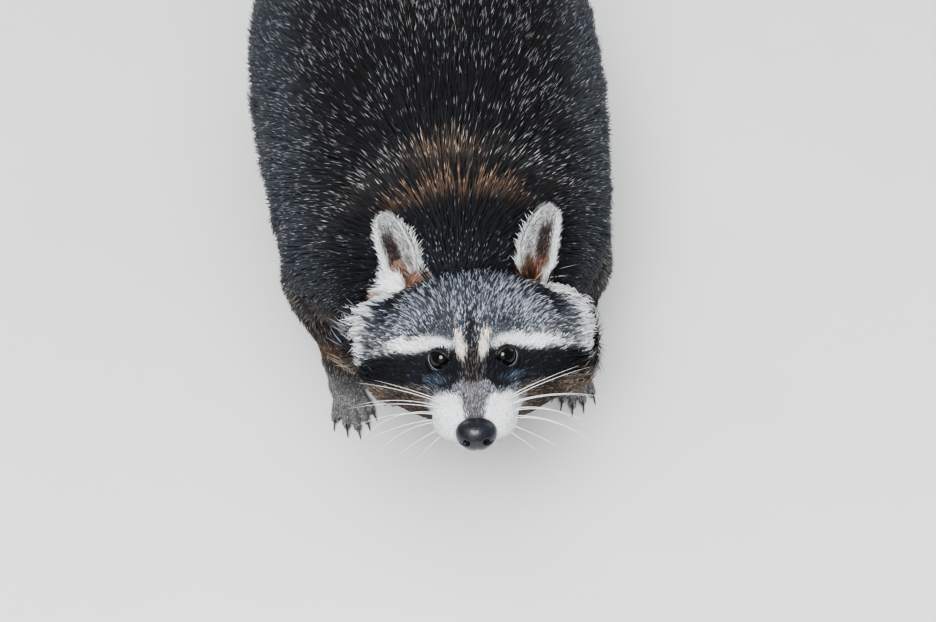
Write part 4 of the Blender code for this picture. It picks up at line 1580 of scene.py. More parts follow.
@dataclass
class Coat:
    """The fur: solid tufts over the whole skin, lying as the real coat lies.

    Attributes:
        anatomy: The animal's sizes.
        skin: What it grows on.
        markings: Its colours.
        short: The finish of its short hair.
        long: The finish of its long hair.
        cuts: The hair of each region.
        middle: Where a tuft bends, as a share of its length.
        patch: How wide a tuft's patch of the bake's map is.
        leg_skin: How far the legs' skin lies under their own form, in millimetres, as are
            the sizes that follow.
        foot_top: Where the feet's hair ends.
        rump: Where along the body the tail's hair may begin.
        mid_body: Where the hind legs' half of the body begins.
        nose_halves: How far the nose pad keeps the hair off.
        face_rows: Places from the nose back, and the hair's share of length and of lift.
        nap: Spread of each tuft's direction, in radians: of its neighbours' and its own.
        vary: Spread of length and of lift, likewise.
        length_range: Least and most of a tuft's own share of length.
        lift_range: Of lift.
        width_range: Of width.
        ridge: How high a tuft's back is, as a share of its width.
        sunk: How far its root lies under the skin.
        softness: How much of a tuft's own shape its shading shows.
        rng: Where the random draws come from.
        legs: The path of each leg.
    """

    anatomy: Anatomy
    skin: Skin
    markings: Markings
    short: Material
    long: Material
    cuts: dict[Region, HairCut] = field(default_factory=winter_cuts)
    middle: float = 0.45
    patch: float = 0.003
    leg_skin: float = 4.0
    foot_top: float = 27.5
    rump: float = 450.0
    mid_body: float = 260.0
    nose_halves: Triple = (13.0, 10.0, 10.4)
    face_rows: Rows = (
        (-60, -40, -20, 0, 20, 50, 80),
        (0.34, 0.42, 0.5, 0.75, 1.1, 1.45, 1.9),
        (0.16, 0.24, 0.4, 0.6, 1.0, 1.6, 2.2),
    )
    nap: tuple[float, float] = (0.26, 0.13)
    vary: tuple[float, float] = (0.16, 0.20)
    length_range: tuple[float, float] = (0.78, 1.16)
    lift_range: tuple[float, float] = (0.7, 1.22)
    width_range: tuple[float, float] = (0.8, 1.2)
    ridge: float = 0.38
    sunk: float = 0.9
    softness: float = 0.45
    rng: np.random.Generator = field(init=False, repr=False)
    legs: dict[tuple[bool, Side], Tube] = field(init=False, repr=False)

    def __post_init__(self) -> None:
        """Start the random draws and find the legs."""
        self.rng = np.random.default_rng(SEED)
        self.legs = {
            (front, side): Tube(self.anatomy.leg_rows(front, side))
            for front in (True, False)
            for side in Side
        }

    def regions(self, points: Array) -> Array:
        """Which region each point of the skin belongs to.

        Args:
            points: Rows in the model's frame.

        Returns:
            The regions' numbers.
        """
        body = self.anatomy
        here, face = body.to_body(points), body.to_head(points)
        x, y, z = here.T
        best = np.abs(body.trunk.locate(here)[2] + body.coat_depth)
        found = np.full(len(points), Region.BODY.value)

        def claim(chosen: Array, score: Array, region: Region) -> None:
            """Give a region the chosen points that lie nearer to it than to any before.

            Args:
                chosen: One truth a point.
                score: How near each chosen point lies.
                region: The region.
            """
            rows = np.flatnonzero(chosen)
            nearer = score < best[rows]
            best[rows[nearer]] = score[nearer]
            found[rows[nearer]] = region.value

        for (front, _), tube in self.legs.items():
            middle = tube.table[:, :3].mean(axis=0)
            near = (np.abs(x - middle[0]) < 60) & (np.abs(y - middle[1]) < 100) & (z < 165)
            height = np.abs(tube.locate(here[near])[2] + self.leg_skin)
            claim(near, height + 1.5, Region.FORELEG if front else Region.HINDLEG)
        near = y > self.rump - 10
        claim(near, np.abs(body.tail.locate(here[near])[2] + body.coat_depth), Region.TAIL)
        near = np.linalg.norm(face - np.array((0, 20, 0)), axis=1) < 150
        near &= face[:, 1] < 96
        height = body.head.locate(face[near])[2] + self.skin.head_inset(face[near][:, 1])
        jaw = body.jaw.locate(face[near])[2] + self.skin.jaw_coat
        claim(near, np.minimum(np.abs(height), np.abs(jaw)), Region.HEAD)
        for region in (Region.EAR_LEFT, Region.EAR_RIGHT):
            leaf = body.ears[region.side]
            near = (np.linalg.norm(face - leaf.middle(), axis=1) < 52) & (face[:, 2] > 18)
            _, rise, gap, facing = leaf.locate(face[near])
            pull = np.where((rise < 0.4) & (facing > 0), 0.12, 0.5)
            claim(near, np.abs(gap - 0.8) * pull, region)
        found[(z < self.foot_top) & (y < self.rump)] = Region.FOOT.value
        return found

    def density(self, points: Array, region: Region) -> Array:
        """How thickly the hair stands at points of a region.

        Args:
            points: Rows in the model's frame.
            region: Theirs.

        Returns:
            One share a point.
        """
        here, face = self.anatomy.to_body(points), self.anatomy.to_head(points)
        if region is Region.HEAD:
            return 0.35 + 1.5 * smooth(8, -12, face[:, 1]) + 0.9 * smooth(86, 60, face[:, 1])
        if region is Region.BODY:
            return 0.5 + 0.6 * smooth(90, 150, here[:, 2])
        return np.ones(len(points))

    def bare(self, points: Array) -> Array:
        """Where no hair grows: in the sockets, under the nose pad and on the soles.

        Args:
            points: Rows in the model's frame.

        Returns:
            One truth a point.
        """
        body = self.anatomy
        face = body.to_head(points)
        found = points[:, 2] < 1.2 * MM
        found |= body.to_body(points)[:, 1] > body.tail.rows[-1][1] - 4
        for side in Side:
            found |= np.linalg.norm(face - body.eye(side), axis=1) < body.eye_radius + 0.55
            found |= self.skin.in_gap(face, side, 0.06)
        nose = (face - np.array(body.nose_centre)) / self.nose_halves
        return found | (np.linalg.norm(nose, axis=1) < 1.0)

    def grow(self, obj: Piece) -> dict[Region, Roots]:
        """Choose the roots on the skin.

        Args:
            obj: The skin.

        Returns:
            The roots of each region.
        """
        mesh = obj.data
        mesh.calc_loop_triangles()
        corners = np.empty(len(mesh.loop_triangles) * 3, np.int32)
        mesh.loop_triangles.foreach_get("vertices", corners)
        corners = corners.reshape(-1, 3)
        points = vertex_array(mesh)
        normals = np.empty(len(points) * 3, np.float32)
        mesh.vertices.foreach_get("normal", normals)
        normals = normals.reshape(-1, 3).astype(float)
        a, b, c = (points[corners[:, k]] for k in range(3))
        area = np.linalg.norm(np.cross(b - a, c - a), axis=1)
        centre = (a + b + c) / 3
        region_of = self.regions(centre)
        area[self.bare(centre)] = 0
        found = {}
        for region, cut in self.cuts.items():
            mine = np.flatnonzero(region_of == region.value)
            weight = np.cumsum(area[mine] * self.density(centre[mine], region))
            steps = (np.arange(cut.count) + self.rng.random(cut.count)) / cut.count
            chosen = mine[np.searchsorted(weight, steps * weight[-1])]
            u, v = np.sqrt(self.rng.random(cut.count)), self.rng.random(cut.count)
            share = np.stack((1 - u, u * (1 - v), u * v), axis=-1)[..., None]
            point = (points[corners[chosen]] * share).sum(axis=1)
            normal = unit((normals[corners[chosen]] * share).sum(axis=1))
            found[region] = Roots(point, normal, self.unwrap(point, region))
        return found

    def unwrap(self, points: Array, region: Region) -> Array:
        """Places of points on an unwrap of their region's own shape.

        Args:
            points: Rows in the model's frame.
            region: Theirs.

        Returns:
            Rows of round and along.
        """
        body = self.anatomy
        here, face = body.to_body(points), body.to_head(points)
        if region.side:
            across, rise, _, facing = body.ears[region.side].locate(face)
            return np.stack((across * 0.5 + facing, rise * 2), -1)
        if region is Region.TAIL:
            along, angle, _ = body.tail.locate(here)
            return np.stack((angle, along / 40), -1)
        if region in (Region.HEAD, Region.BODY):
            on_head = region is Region.HEAD
            form, rows, scale = (body.head, face, 20) if on_head else (body.trunk, here, 100)
            along, angle, _ = form.locate(rows)
            return np.stack((np.mod(angle + math.pi / 2, TURN), along / scale), -1)
        spread = np.sign(here[:, 0]) * 3 + 6 * (here[:, 1] > self.mid_body)
        if region is Region.FOOT:
            return np.stack((here[:, 0] / 20 + spread, here[:, 1] / 20), -1)
        angle = np.arctan2(here[:, 1] % 200 - 100, np.abs(here[:, 0]) - 90)
        return np.stack((angle + 3 * spread, here[:, 2] / 20), -1)

    def height(self, points: Array, region: Region) -> Array:
        """How high points stand over the skin of a region, in millimetres.

        Args:
            points: Rows in the model's frame.
            region: Theirs.

        Returns:
            One height a point.
        """
        body = self.anatomy
        here = body.to_body(points)
        if region is Region.HEAD:
            face = body.to_head(points)
            return body.head.locate(face)[2] + self.skin.head_inset(face[:, 1])
        if region is Region.BODY:
            level = body.trunk.locate(here)[2] + body.coat_depth
            return level * (1 - 0.75 * smooth(395, 450, here[:, 1]))
        if region is Region.TAIL:
            along, _, level = body.tail.locate(here)
            return (level + body.coat_depth) * smooth(0.97, 0.80, along / body.tail.length)
        return np.zeros(len(points))

    def lie(self, roots: Roots, region: Region) -> Lie:
        """How the hair lies.

        Args:
            roots: Where it grows.
            region: Its stretch of the coat.

        Returns:
            Directions, and shares of the region's length and lift.
        """
        if region.side:
            return self.lie_on_ear(roots, region.side)
        ways = {
            Region.HEAD: self.lie_on_head,
            Region.BODY: self.lie_on_body,
            Region.TAIL: self.lie_on_tail,
            Region.FOOT: self.lie_on_foot,
        }
        return ways.get(region, self.lie_on_leg)(roots)

    def lie_on_head(self, roots: Roots) -> Lie:
        """Back from the nose, away from the eyes and out over the cheeks, longest behind.

        Args:
            roots: Where it grows.

        Returns:
            Directions, and shares of length and lift.
        """
        body = self.anatomy
        face = body.to_head(roots.point)
        x, y, z = face.T
        aside = np.abs(x)
        length, lift = np.ones(len(face)), np.ones(len(face))
        way = unit(face - np.array((0, -70, -20)))
        side = np.sign(x) * smooth(4, 30, aside)
        cheek = smooth(-6, 20, y) * smooth(26, 50, aside)
        way[:, 0] += side * (0.35 + 1.0 * cheek) * smooth(-12, 6, y)
        way[:, 2] -= 0.35 * cheek * smooth(16, -10, z)
        way[:, 2] -= 0.5 * smooth(-30, -44, z)
        for eye in Side:
            off = face - body.eye(eye)
            gap = np.linalg.norm(off, axis=1)
            way += unit(off) * (1.5 * np.exp(-((gap / 14) ** 2)))[:, None]
            near = smooth(9, 24, gap)
            length *= 0.34 + 0.66 * near
            lift *= 0.2 + 0.8 * near
        places, lengths, lifts = self.face_rows
        ruff = smooth(38, 60, aside) * smooth(8, 26, y) * smooth(38, 22, z)
        throat = smooth(-36, -48, z) * smooth(-30, 0, y)
        length *= np.interp(y, places, lengths) * (1 + 0.9 * ruff + 0.5 * throat)
        lift *= np.interp(y, places, lifts)
        lift *= 1 + 3.0 * ruff
        return body.turn_from_head(way), length, lift

    def lie_on_ear(self, roots: Roots, side: Side) -> Lie:
        """Up the leaf, across its hollow from the inner rim, and out over the rim.

        Args:
            roots: Where it grows.
            side: Which ear.

        Returns:
            Directions, and shares of length and lift.
        """
        body = self.anatomy
        leaf = body.ears[side]
        _, up, out, _ = leaf.axes()
        across, rise, _, facing = leaf.locate(body.to_head(roots.point))
        edge, front = self.edge_of_ear(across, rise), facing > 0
        rim = edge > 0.84
        inner = smooth(-0.1, -0.6, across)
        sweep = np.where(front, 0.25 + 0.45 * inner, 0.5 * across)
        sweep = np.where(rim, across * 0.9, sweep)
        way = unit(up) + out * sweep[:, None]
        length = np.where(front, 0.75 + 0.85 * inner * ~rim, 0.8)
        length *= 1 + 0.8 * smooth(0.4, 0.1, rise) * front
        length *= np.where(rim & (across < 0), 1.3, 1.0) * (1 - 0.5 * smooth(0.78, 0.98, rise))
        lift = np.where(edge > 0.8, 0.8, 1.0) * (1 + 0.8 * smooth(0.35, 0.1, rise))
        return body.turn_from_head(way), length, lift

    def lie_on_body(self, roots: Roots) -> Lie:
        """Back along the body and down its sides, shorter on the neck.

        Args:
            roots: Where it grows.

        Returns:
            Directions, and shares of length and lift.
        """
        x, y, z = self.anatomy.to_body(roots.point).T
        aside = np.abs(x)
        down = np.array((0, 0, -1.0)) - roots.normal * -roots.normal[:, 2:]
        fan = smooth(330, 110, y) * 0.75 + 0.65
        way = np.array((0, 1.0, 0)) + down * fan[:, None] * smooth(70, 120, z)[:, None]
        neck = smooth(118, 84, y)
        length = 1 - 0.30 * smooth(170, 110, y) * smooth(120, 60, aside) - 0.35 * neck
        length *= 1 + 0.12 * smooth(200, 130, z) * smooth(90, 130, y)
        beside_cheek = neck * smooth(50, 66, aside) * smooth(182, 168, z)
        return way, length, 1 - 0.12 * neck - 0.5 * beside_cheek

    def lie_on_tail(self, roots: Roots) -> Lie:
        """Along the tail, shorter at its tip.

        Args:
            roots: Where it grows.

        Returns:
            Directions, and shares of length and lift.
        """
        tail = self.anatomy.tail
        along = tail.locate(self.anatomy.to_body(roots.point))[0]
        tip = smooth(0.80, 1.0, along / tail.length)
        return tail.frame(along)[0] + roots.normal * 0.1, 1 - 0.52 * tip, 1 + 0.10 * tip

    def lie_on_foot(self, roots: Roots) -> Lie:
        """Down the ankle and forwards over the toes.

        Args:
            roots: Where it grows.

        Returns:
            Directions, and shares of length and lift.
        """
        body = self.anatomy
        x, y, z = body.to_body(roots.point).T
        turn = np.where(y > self.mid_body, body.hindfoot.turn, body.forefoot.turn)
        turn = np.radians(turn) * np.sign(x)
        way = np.stack((np.sin(turn), -np.cos(turn), -0.25 + 0 * x), -1)
        way[:, 2] -= 1.5 * smooth(12, 24, z)
        return way, 0.75 + 0.9 * smooth(10, 26, z), 1 + 0.8 * smooth(12, 26, z)

    def lie_on_leg(self, roots: Roots) -> Lie:
        """Down the nearest leg, shorter towards the foot.

        Args:
            roots: Where it grows.

        Returns:
            Directions, and shares of length and lift.
        """
        here = self.anatomy.to_body(roots.point)
        way = np.zeros((len(here), 3))
        best = np.full(len(here), 1e9)
        for tube in self.legs.values():
            along, _, height = tube.locate(here)
            near = np.abs(height) < best
            best[near] = np.abs(height)[near]
            way[near] = tube.frame(along)[0][near]
        share = smooth(110, 30, here[:, 2])
        way[:, 1] += 0.35 * (1 - share)
        return way, 1 - 0.5 * share, 1.25 - 0.75 * share

    @staticmethod
    def edge_of_ear(across: Array, rise: Array) -> Array:
        """How near the rim of an ear points are, from 0 in the middle to 1 at the edge."""
        top = np.clip((rise - 0.5) / 0.5, 0, 1)
        return np.abs(across) * (1 - top**3) + top**3 * np.maximum(np.abs(across), top)

    def tint(self, points: Array, roots: Array, region: Region) -> Tint:
        """The colours of the hair.

        Args:
            points: Where each tuft shows, in the model's frame.
            roots: Where it grows, likewise.
            region: Its stretch of the coat.

        Returns:
            The tints.
        """
        body, marks = self.anatomy, self.markings
        if region is Region.HEAD:
            return marks.head(body.to_head(points))
        if region.side:
            across, rise, _, facing = body.ears[region.side].locate(body.to_head(roots))
            return marks.ear(across, rise, facing, self.edge_of_ear(across, rise))
        here = body.to_body(points)
        if region is Region.BODY:
            return marks.body(here)
        if region is Region.TAIL:
            return marks.tail(body.tail.locate(here)[0], body.tail.length)
        return marks.leg(here, here[:, 1] < self.mid_body)

    def tufts(self, name: str, roots: Roots, region: Region) -> Piece:
        """Make one piece of the coat.

        Args:
            name: The piece's name.
            roots: Where its tufts grow.
            region: Its stretch of the coat.

        Returns:
            The piece.
        """
        cut, rng = self.cuts[region], self.rng
        count, normal, spot = len(roots.point), roots.normal, roots.point / MM
        way, grow, rise = self.lie(roots, region)
        way = unit(way - normal * (way * normal).sum(-1, keepdims=True))
        turn = self.nap[0] * value_noise(spot, 11, 11) + rng.normal(0, self.nap[1], count)
        way = way * np.cos(turn)[:, None] + np.cross(normal, way) * np.sin(turn)[:, None]
        side = np.cross(normal, way)
        grow = grow * (1 + self.vary[0] * value_noise(spot, 9, 12))
        grow = grow * rng.uniform(*self.length_range, count)
        rise = rise * (1 + self.vary[1] * value_noise(spot, 13, 13))
        rise = rise * rng.uniform(*self.lift_range, count)
        length, lift = cut.length * grow, cut.lift * rise
        flat = roots.point + way * (length * MM)[:, None]
        drop = np.clip(self.height(flat, region), -6, 16)
        tip = flat + normal * ((lift - drop) * MM)[:, None]
        bend = roots.point + way * (length * self.middle * MM)[:, None]
        bend += normal * ((0.74 * lift - self.middle**2 * drop) * MM)[:, None]
        if region in (Region.HEAD, Region.BODY):
            clear = self.clear_of_ears(bend) & self.clear_of_ears(tip)
            shrink = np.where(clear, 1.0, 0.16)[:, None]
            bend = roots.point + (bend - roots.point) * shrink
            tip = roots.point + (tip - roots.point) * shrink
        root = roots.point - normal * self.sunk * MM
        tip[:, 2] = np.maximum(tip[:, 2], 0.3 * MM)
        bend[:, 2] = np.maximum(bend[:, 2], 0.6 * MM)
        width = cut.width * np.sqrt(np.clip(grow, 0.25, 1.6))
        width = width * rng.uniform(*self.width_range, count)
        half = side * (width * MM / 2)[:, None]
        crest = normal * (width * self.ridge * MM)[:, None]
        low = (root + half * 0.8, root + crest, root - half * 0.8)
        rings = np.stack((*low, bend + half, bend + crest, bend - half, tip), axis=1)
        mesh = self.closed_tufts(name, rings)
        self.paint(mesh, roots, bend * (1 - cut.shown) + tip * cut.shown, region)
        spine = np.repeat(np.stack((root, bend, tip - normal * MM), axis=1), (3, 3, 1), axis=1)
        shape = unit(rings - spine).reshape(-1, 3) * self.softness
        shading = unit(np.repeat(normal, TUFT_POINTS, axis=0) + shape)
        mesh.normals_split_custom_set_from_vertices(shading)
        obj = link_new(name, mesh)
        mesh.materials.append(self.long if cut.long else self.short)
        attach(obj, "root")
        return obj

    def clear_of_ears(self, points: Array) -> Array:
        """Whether points keep out of the hollow in front of each ear and its leaf.

        Args:
            points: Rows in the model's frame.

        Returns:
            One truth a point.
        """
        body = self.anatomy
        face = body.to_head(points)
        found = np.ones(len(points), bool)
        for leaf in body.ears.values():
            near = np.flatnonzero(np.linalg.norm(face - leaf.middle(), axis=1) < 46)
            across, rise, gap, facing = leaf.locate(face[near])
            room = np.where(facing > 0, 15.0, 1.5)
            inside = (gap < room) & (rise > -0.10) & (np.abs(across) < 0.97)
            found[near[inside]] = False
        return found

    @staticmethod
    def closed_tufts(name: str, rings: Array) -> bpy.types.Mesh:
        """Join tufts to one mesh: each a three-sided blade, closed at its root.

        Args:
            name: The mesh's name.
            rings: The points of each tuft: three at the root, three at the bend, the tip.

        Returns:
            The mesh.
        """
        sides = [(0, 2, 1)]
        for k in range(3):
            j = (k + 1) % 3
            sides += [(k, j, j + 3), (k, j + 3, k + 3), (k + 3, j + 3, 6)]
        count = len(rings)
        starts = np.arange(count)[:, None, None] * TUFT_POINTS
        corners = (np.array(sides)[None] + starts).reshape(-1)
        mesh = bpy.data.meshes.new(name)
        mesh.vertices.add(count * TUFT_POINTS)
        mesh.vertices.foreach_set("co", rings.astype(np.float32).ravel())
        mesh.loops.add(len(corners))
        mesh.loops.foreach_set("vertex_index", corners.astype(np.int32))
        mesh.polygons.add(len(corners) // 3)
        mesh.polygons.foreach_set("loop_start", np.arange(0, len(corners), 3, dtype=np.int32))
        mesh.update(calc_edges=True)
        mesh.shade_smooth()
        return mesh

    def paint(self, mesh: bpy.types.Mesh, roots: Roots, shown: Array, region: Region) -> None:
        """Give tufts their colours, their place along the hair and the bake's map.

        Args:
            mesh: The tufts.
            roots: Where they grow.
            shown: The point that stands for each tuft's colour.
            region: Their stretch of the coat.
        """
        rng, count = self.rng, len(roots.point)
        shown = shown + rng.normal(0, self.cuts[region].drift * MM, shown.shape)
        tint = self.tint(shown, roots.point, region)
        shade = np.exp(rng.normal(0, 0.20, (count, 1)))
        shade = shade * (1 + rng.normal(0, 0.05, (count, 1)) * np.array((1, 0, -1)))
        base = tint.base * shade
        pale = (rng.random(count) < tint.share)[:, None]
        tip = np.where(pale, tint.tip * shade * np.exp(rng.normal(0, 0.24, (count, 1))), base)
        for name, colours in (("coat_base", base), ("coat_tip", tip)):
            rows = np.concatenate((np.clip(colours, 0, 0.86), np.ones((count, 1))), axis=1)
            add_layer(mesh, name, np.repeat(rows, TUFT_POINTS, axis=0))
        across = np.tile((0.0, 0.5, 1.0, 0.0, 0.5, 1.0, 0.5), count)
        along = np.tile((0, 0, 0, self.middle, self.middle, self.middle, 1), count)
        chance = np.repeat(rng.random(count), TUFT_POINTS)
        layer = mesh.attributes.new("lie", "FLOAT_VECTOR", "POINT")
        rows = np.stack((across, along, chance), -1)
        layer.data.foreach_set("vector", rows.astype(np.float32).ravel())
        low, high = roots.home.min(axis=0), roots.home.max(axis=0)
        home = 0.01 + 0.97 * (roots.home - low) / np.maximum(high - low, 1e-6)
        spread = np.stack((across - 0.5, along), -1).reshape(count, TUFT_POINTS, 2)
        spread[:, (0, 2), 1] -= 0.05
        uv = (home[:, None] + self.patch * spread).reshape(-1, 2)
        corners = np.empty(len(mesh.loops), np.int32)
        mesh.loops.foreach_get("vertex_index", corners)
        layer = mesh.uv_layers.new(name="OFBake")
        layer.data.foreach_set("uv", uv[corners].astype(np.float32).ravel())

    def dress_skin(self, skin: Piece) -> None:
        """Paint the skin with the coat's own markings, darker as painted shade under the coat, and
        the eyes' sockets dark.

        Args:
            skin: The skin.
        """
        mesh = skin.data
        points = vertex_array(mesh)
        regions = self.regions(points)
        base, tip = np.zeros((len(points), 4)), np.zeros((len(points), 4))
        base[:, 3] = tip[:, 3] = 1
        for region in Region:
            mine = np.flatnonzero(regions == region.value)
            tint = self.tint(points[mine], points[mine], region)
            # Painted shade: the skin takes the markings darker than the hair, for the shade that
            # the coat casts on it.
            mixed = tint.base + (tint.tip - tint.base) * tint.share[:, None] * 0.6
            base[mine, :3], tip[mine, :3] = tint.base * 0.55, mixed * 0.75
        face = self.anatomy.to_head(points)
        for side in Side:
            off = np.linalg.norm(face - self.anatomy.eye(side), axis=1)
            near = (off < self.anatomy.eye_radius + 1.15) | self.skin.in_gap(face, side, 0.10)
            base[near, :3] = tip[near, :3] = (0.008, 0.0075, 0.008)
        for name, rows in (("coat_base", base), ("coat_tip", tip)):
            add_layer(mesh, name, np.clip(rows, 0, 1))
        mesh.materials.clear()
        mesh.materials.append(SkinFinish().make())

    def build(self, skin: Piece) -> list[Piece]:
        """Cover the skin.

        Args:
            skin: What the coat grows on.

        Returns:
            The pieces.
        """
        made = []
        for region, roots in self.grow(skin).items():
            order = np.argsort(roots.home[:, 0], kind="stable")
            parts = np.array_split(order, self.cuts[region].pieces)
            for number, part in enumerate(parts, 1):
                tag = f"_{number}" if len(parts) > 1 else ""
                name = f"coat_{region.name.lower()}{tag}"
                made.append(self.tufts(name, roots.take(part), region))
        return made


class Nodes:
    """A short way to build a node tree.

    Attributes:
        tree: The tree that is built.
    """

    def __init__(self, tree: bpy.types.NodeTree) -> None:
        """Work in one tree."""
        self.tree = tree

    def join(self, value: object, socket: Socket) -> None:
        """Feed a socket from an output, or set it to a plain value.

        Args:
            value: The output or the plain value.
            socket: What it goes into.
        """
        if isinstance(value, bpy.types.NodeSocket):
            self.tree.links.new(value, socket)
        else:
            socket.default_value = value

    def add(self, kind: str, settings: dict | None = None, **inputs: object) -> bpy.types.Node:
        """Add a node.

        Args:
            kind: Its type, without the leading ShaderNode.
            settings: Its own settings.
            inputs: A value or an output for each input, by name, with _ for spaces, or by
                number after a _.

        Returns:
            The node.
        """
        node = self.tree.nodes.new(f"ShaderNode{kind}")
        for key, value in (settings or {}).items():
            setattr(node, key, value)
        for key, value in inputs.items():
            name = int(key[1:]) if key[1:].isdigit() else key.replace("_", " ")
            self.join(value, node.inputs[name])
        return node

    def ramp(self, value: object, low: object, high: object, *ends: float) -> Socket:
        """A soft step from 0 to 1, or between two other ends."""
        return self.span(value, low, high, *(ends or (0.0, 1.0)), how="SMOOTHSTEP")

    def span(self, value: object, *ends: object, how: str = "LINEAR") -> Socket:
        """Change the range of a value.

        Args:
            value: The value.
            ends: Its lowest and highest, and what those become.
            how: The kind of step.

        Returns:
            The new value.
        """
        node = self.add("MapRange", {"interpolation_type": how}, Value=value)
        for index, end in enumerate(ends, 1):
            self.join(end, node.inputs[index])
        return node.outputs["Result"]

    def mix(self, share: object, first: object, second: object, blend: str = "MIX") -> Socket:
        """A mix of two colours.

        Args:
            share: How much of the second.
            first: The first colour.
            second: The second.
            blend: How they are mixed.

        Returns:
            The colour.
        """
        node = self.add("Mix", {"data_type": "RGBA", "blend_type": blend})
        for index, value in ((0, share), (6, first), (7, second)):
            self.join(value, node.inputs[index])
        return node.outputs[2]

    def math(self, kind: str, first: object, second: object = 0.0) -> Socket:
        """A sum of two values."""
        return self.add("Math", {"operation": kind}, _0=first, _1=second).outputs[0]

    def vector(self, kind: str, first: object, second: object = (0.0, 0.0, 0.0)) -> Socket:
        """A sum of two vectors."""
        node = self.add("VectorMath", {"operation": kind}, _0=first, _1=second)
        return node.outputs["Value" if kind == "DOT_PRODUCT" else "Vector"]

    def noise(self, place: Socket, scale: float, detail: float, roughness: float = 0.5) -> Socket:
        """Noise from 0 to 1."""
        settings = {"Vector": place, "Scale": scale, "Detail": detail, "Roughness": roughness}
        return self.add("TexNoise", **settings).outputs["Fac"]

    def read(self, name: str, output: str = "Color") -> Socket:
        """An attribute of the mesh."""
        return self.add("Attribute", {"attribute_name": name}).outputs[output]


@dataclass(frozen=True)
class Finish:
    """What every finish has.

    Attributes:
        name: The material's name.
    """

    name: str

    def paint(self, made: Nodes) -> dict[str, object]:
        """What feeds each of the shader's sockets; each finish has its own."""
        raise NotImplementedError

    def make(self) -> Material:
        """Build the material.

        Returns:
            The material.
        """
        material = bpy.data.materials.new(self.name)
        material.use_nodes = True
        made = Nodes(material.node_tree)
        shader = material.node_tree.nodes["Principled BSDF"]
        for name, value in self.paint(made).items():
            made.join(value, shader.inputs[name])
        return material


@dataclass(frozen=True)
class HairFinish(Finish):
    """Hair: a base and a tip colour, with painted shade darkening it towards the root, and fine
    streaks along it.

    Attributes:
        name: The material's name.
        roughness: Of the hair.
        step: Where along a hair its tip's colour begins, is full and ends again.
    """

    roughness: float
    step: Triple

    @staticmethod
    def strands_and_root_shade() -> bpy.types.NodeTree:
        """The streaks that every kind of hair has, and its painted shade towards the root, as a
        group built once.
        """
        known = bpy.data.node_groups.get("strands_and_root_shade")
        if known:
            return known
        tree = bpy.data.node_groups.new("strands_and_root_shade", "ShaderNodeTree")
        made = Nodes(tree)
        for way, kind, names in (
            ("INPUT", "Color", ("Base", "Tip")),
            ("INPUT", "Vector", ("Lie",)),
            ("INPUT", "Float", ("From", "To", "End")),
            ("OUTPUT", "Color", ("Colour",)),
            ("OUTPUT", "Float", ("Height", "Roughness")),
        ):
            for name in names:
                tree.interface.new_socket(name, in_out=way, socket_type=f"NodeSocket{kind}")
        given = tree.nodes.new("NodeGroupInput").outputs
        across, share, chance = made.add("SeparateXYZ", Vector=given["Lie"]).outputs
        place = made.add(
            "CombineXYZ",
            X=made.math("MULTIPLY", across, 5.0),
            Y=made.math("MULTIPLY", share, 1.6),
            Z=made.math("MULTIPLY", chance, 60.0),
        )
        fine = made.noise(place.outputs[0], 1.0, 2.0, 0.6)
        along = share
        for value, power in ((fine, 0.3), (chance, 0.16)):
            shifted = made.math("MULTIPLY", made.math("SUBTRACT", value, 0.5), power)
            along = made.math("ADD", along, shifted)
        step = made.ramp(along, given["From"], given["To"])
        end = made.math("ADD", given["End"], 0.07)
        fade = made.ramp(along, given["End"], end, 1.0, 0.0)
        colour = made.mix(made.math("MULTIPLY", step, fade), given["Base"], given["Tip"])
        # Painted shade: each hair darkens towards its root, where the coat above it shades it.
        shade = made.span(share, 0.0, 0.5, 0.42, 1.0)
        value = made.math("MULTIPLY", shade, made.span(fine, 0.3, 0.7, 0.74, 1.14))
        grey = made.add("CombineColor", Red=value, Green=value, Blue=value)
        sink = tree.nodes.new("NodeGroupOutput").inputs
        made.join(made.mix(1.0, colour, grey.outputs[0], "MULTIPLY"), sink["Colour"])
        made.join(fine, sink["Height"])
        made.join(made.span(fine, 0.3, 0.7, -0.06, 0.08), sink["Roughness"])
        return tree

    def paint(self, made: Nodes) -> dict[str, object]:
        """The streaks of this hair's own colours.

        Args:
            made: The material's tree.

        Returns:
            What feeds each socket of the shader.
        """
        group = made.tree.nodes.new("ShaderNodeGroup")
        group.node_tree = self.strands_and_root_shade()
        given = (made.read("coat_base"), made.read("coat_tip"), made.read("lie", "Vector"))
        for socket, value in zip(group.inputs, (*given, *self.step)):
            made.join(value, socket)
        colour, height, rough = group.outputs
        return {
            "Base Color": colour,
            "Roughness": made.math("ADD", rough, self.roughness),
            "Specular IOR Level": 0.16,
            "Normal": made.add("Bump", Height=height, Strength=0.25, Distance=0.2 * MM).outputs[0],
        }


@dataclass(frozen=True)
class SkinFinish(Finish):
    """The skin under the coat: the coat's colours, with short flat hair as bump."""

    name: str = "skin_under_coat"

    def paint(self, made: Nodes) -> dict[str, object]:
        """Fine hair drawn out along the body, over pores.

        Args:
            made: The material's tree.

        Returns:
            What feeds each socket of the shader.
        """
        place = made.add("TexCoord").outputs["Object"]
        lay = made.add("Mapping", Vector=place, Scale=(1.0, 0.28, 0.5)).outputs[0]
        hair = made.noise(lay, 1500.0, 3.0, 0.7)
        pores = made.add("TexVoronoi", Vector=place, Scale=900.0).outputs["Distance"]
        height = made.math("ADD", hair, made.math("MULTIPLY", pores, 0.3))
        base, tip = made.read("coat_base"), made.read("coat_tip")
        return {
            "Base Color": made.mix(made.ramp(hair, 0.42, 0.66), base, tip),
            "Roughness": made.span(hair, 0.3, 0.7, 0.62, 0.82),
            "Specular IOR Level": 0.25,
            "Normal": made.add("Bump", Height=height, Strength=0.6, Distance=0.4 * MM).outputs[0],
        }


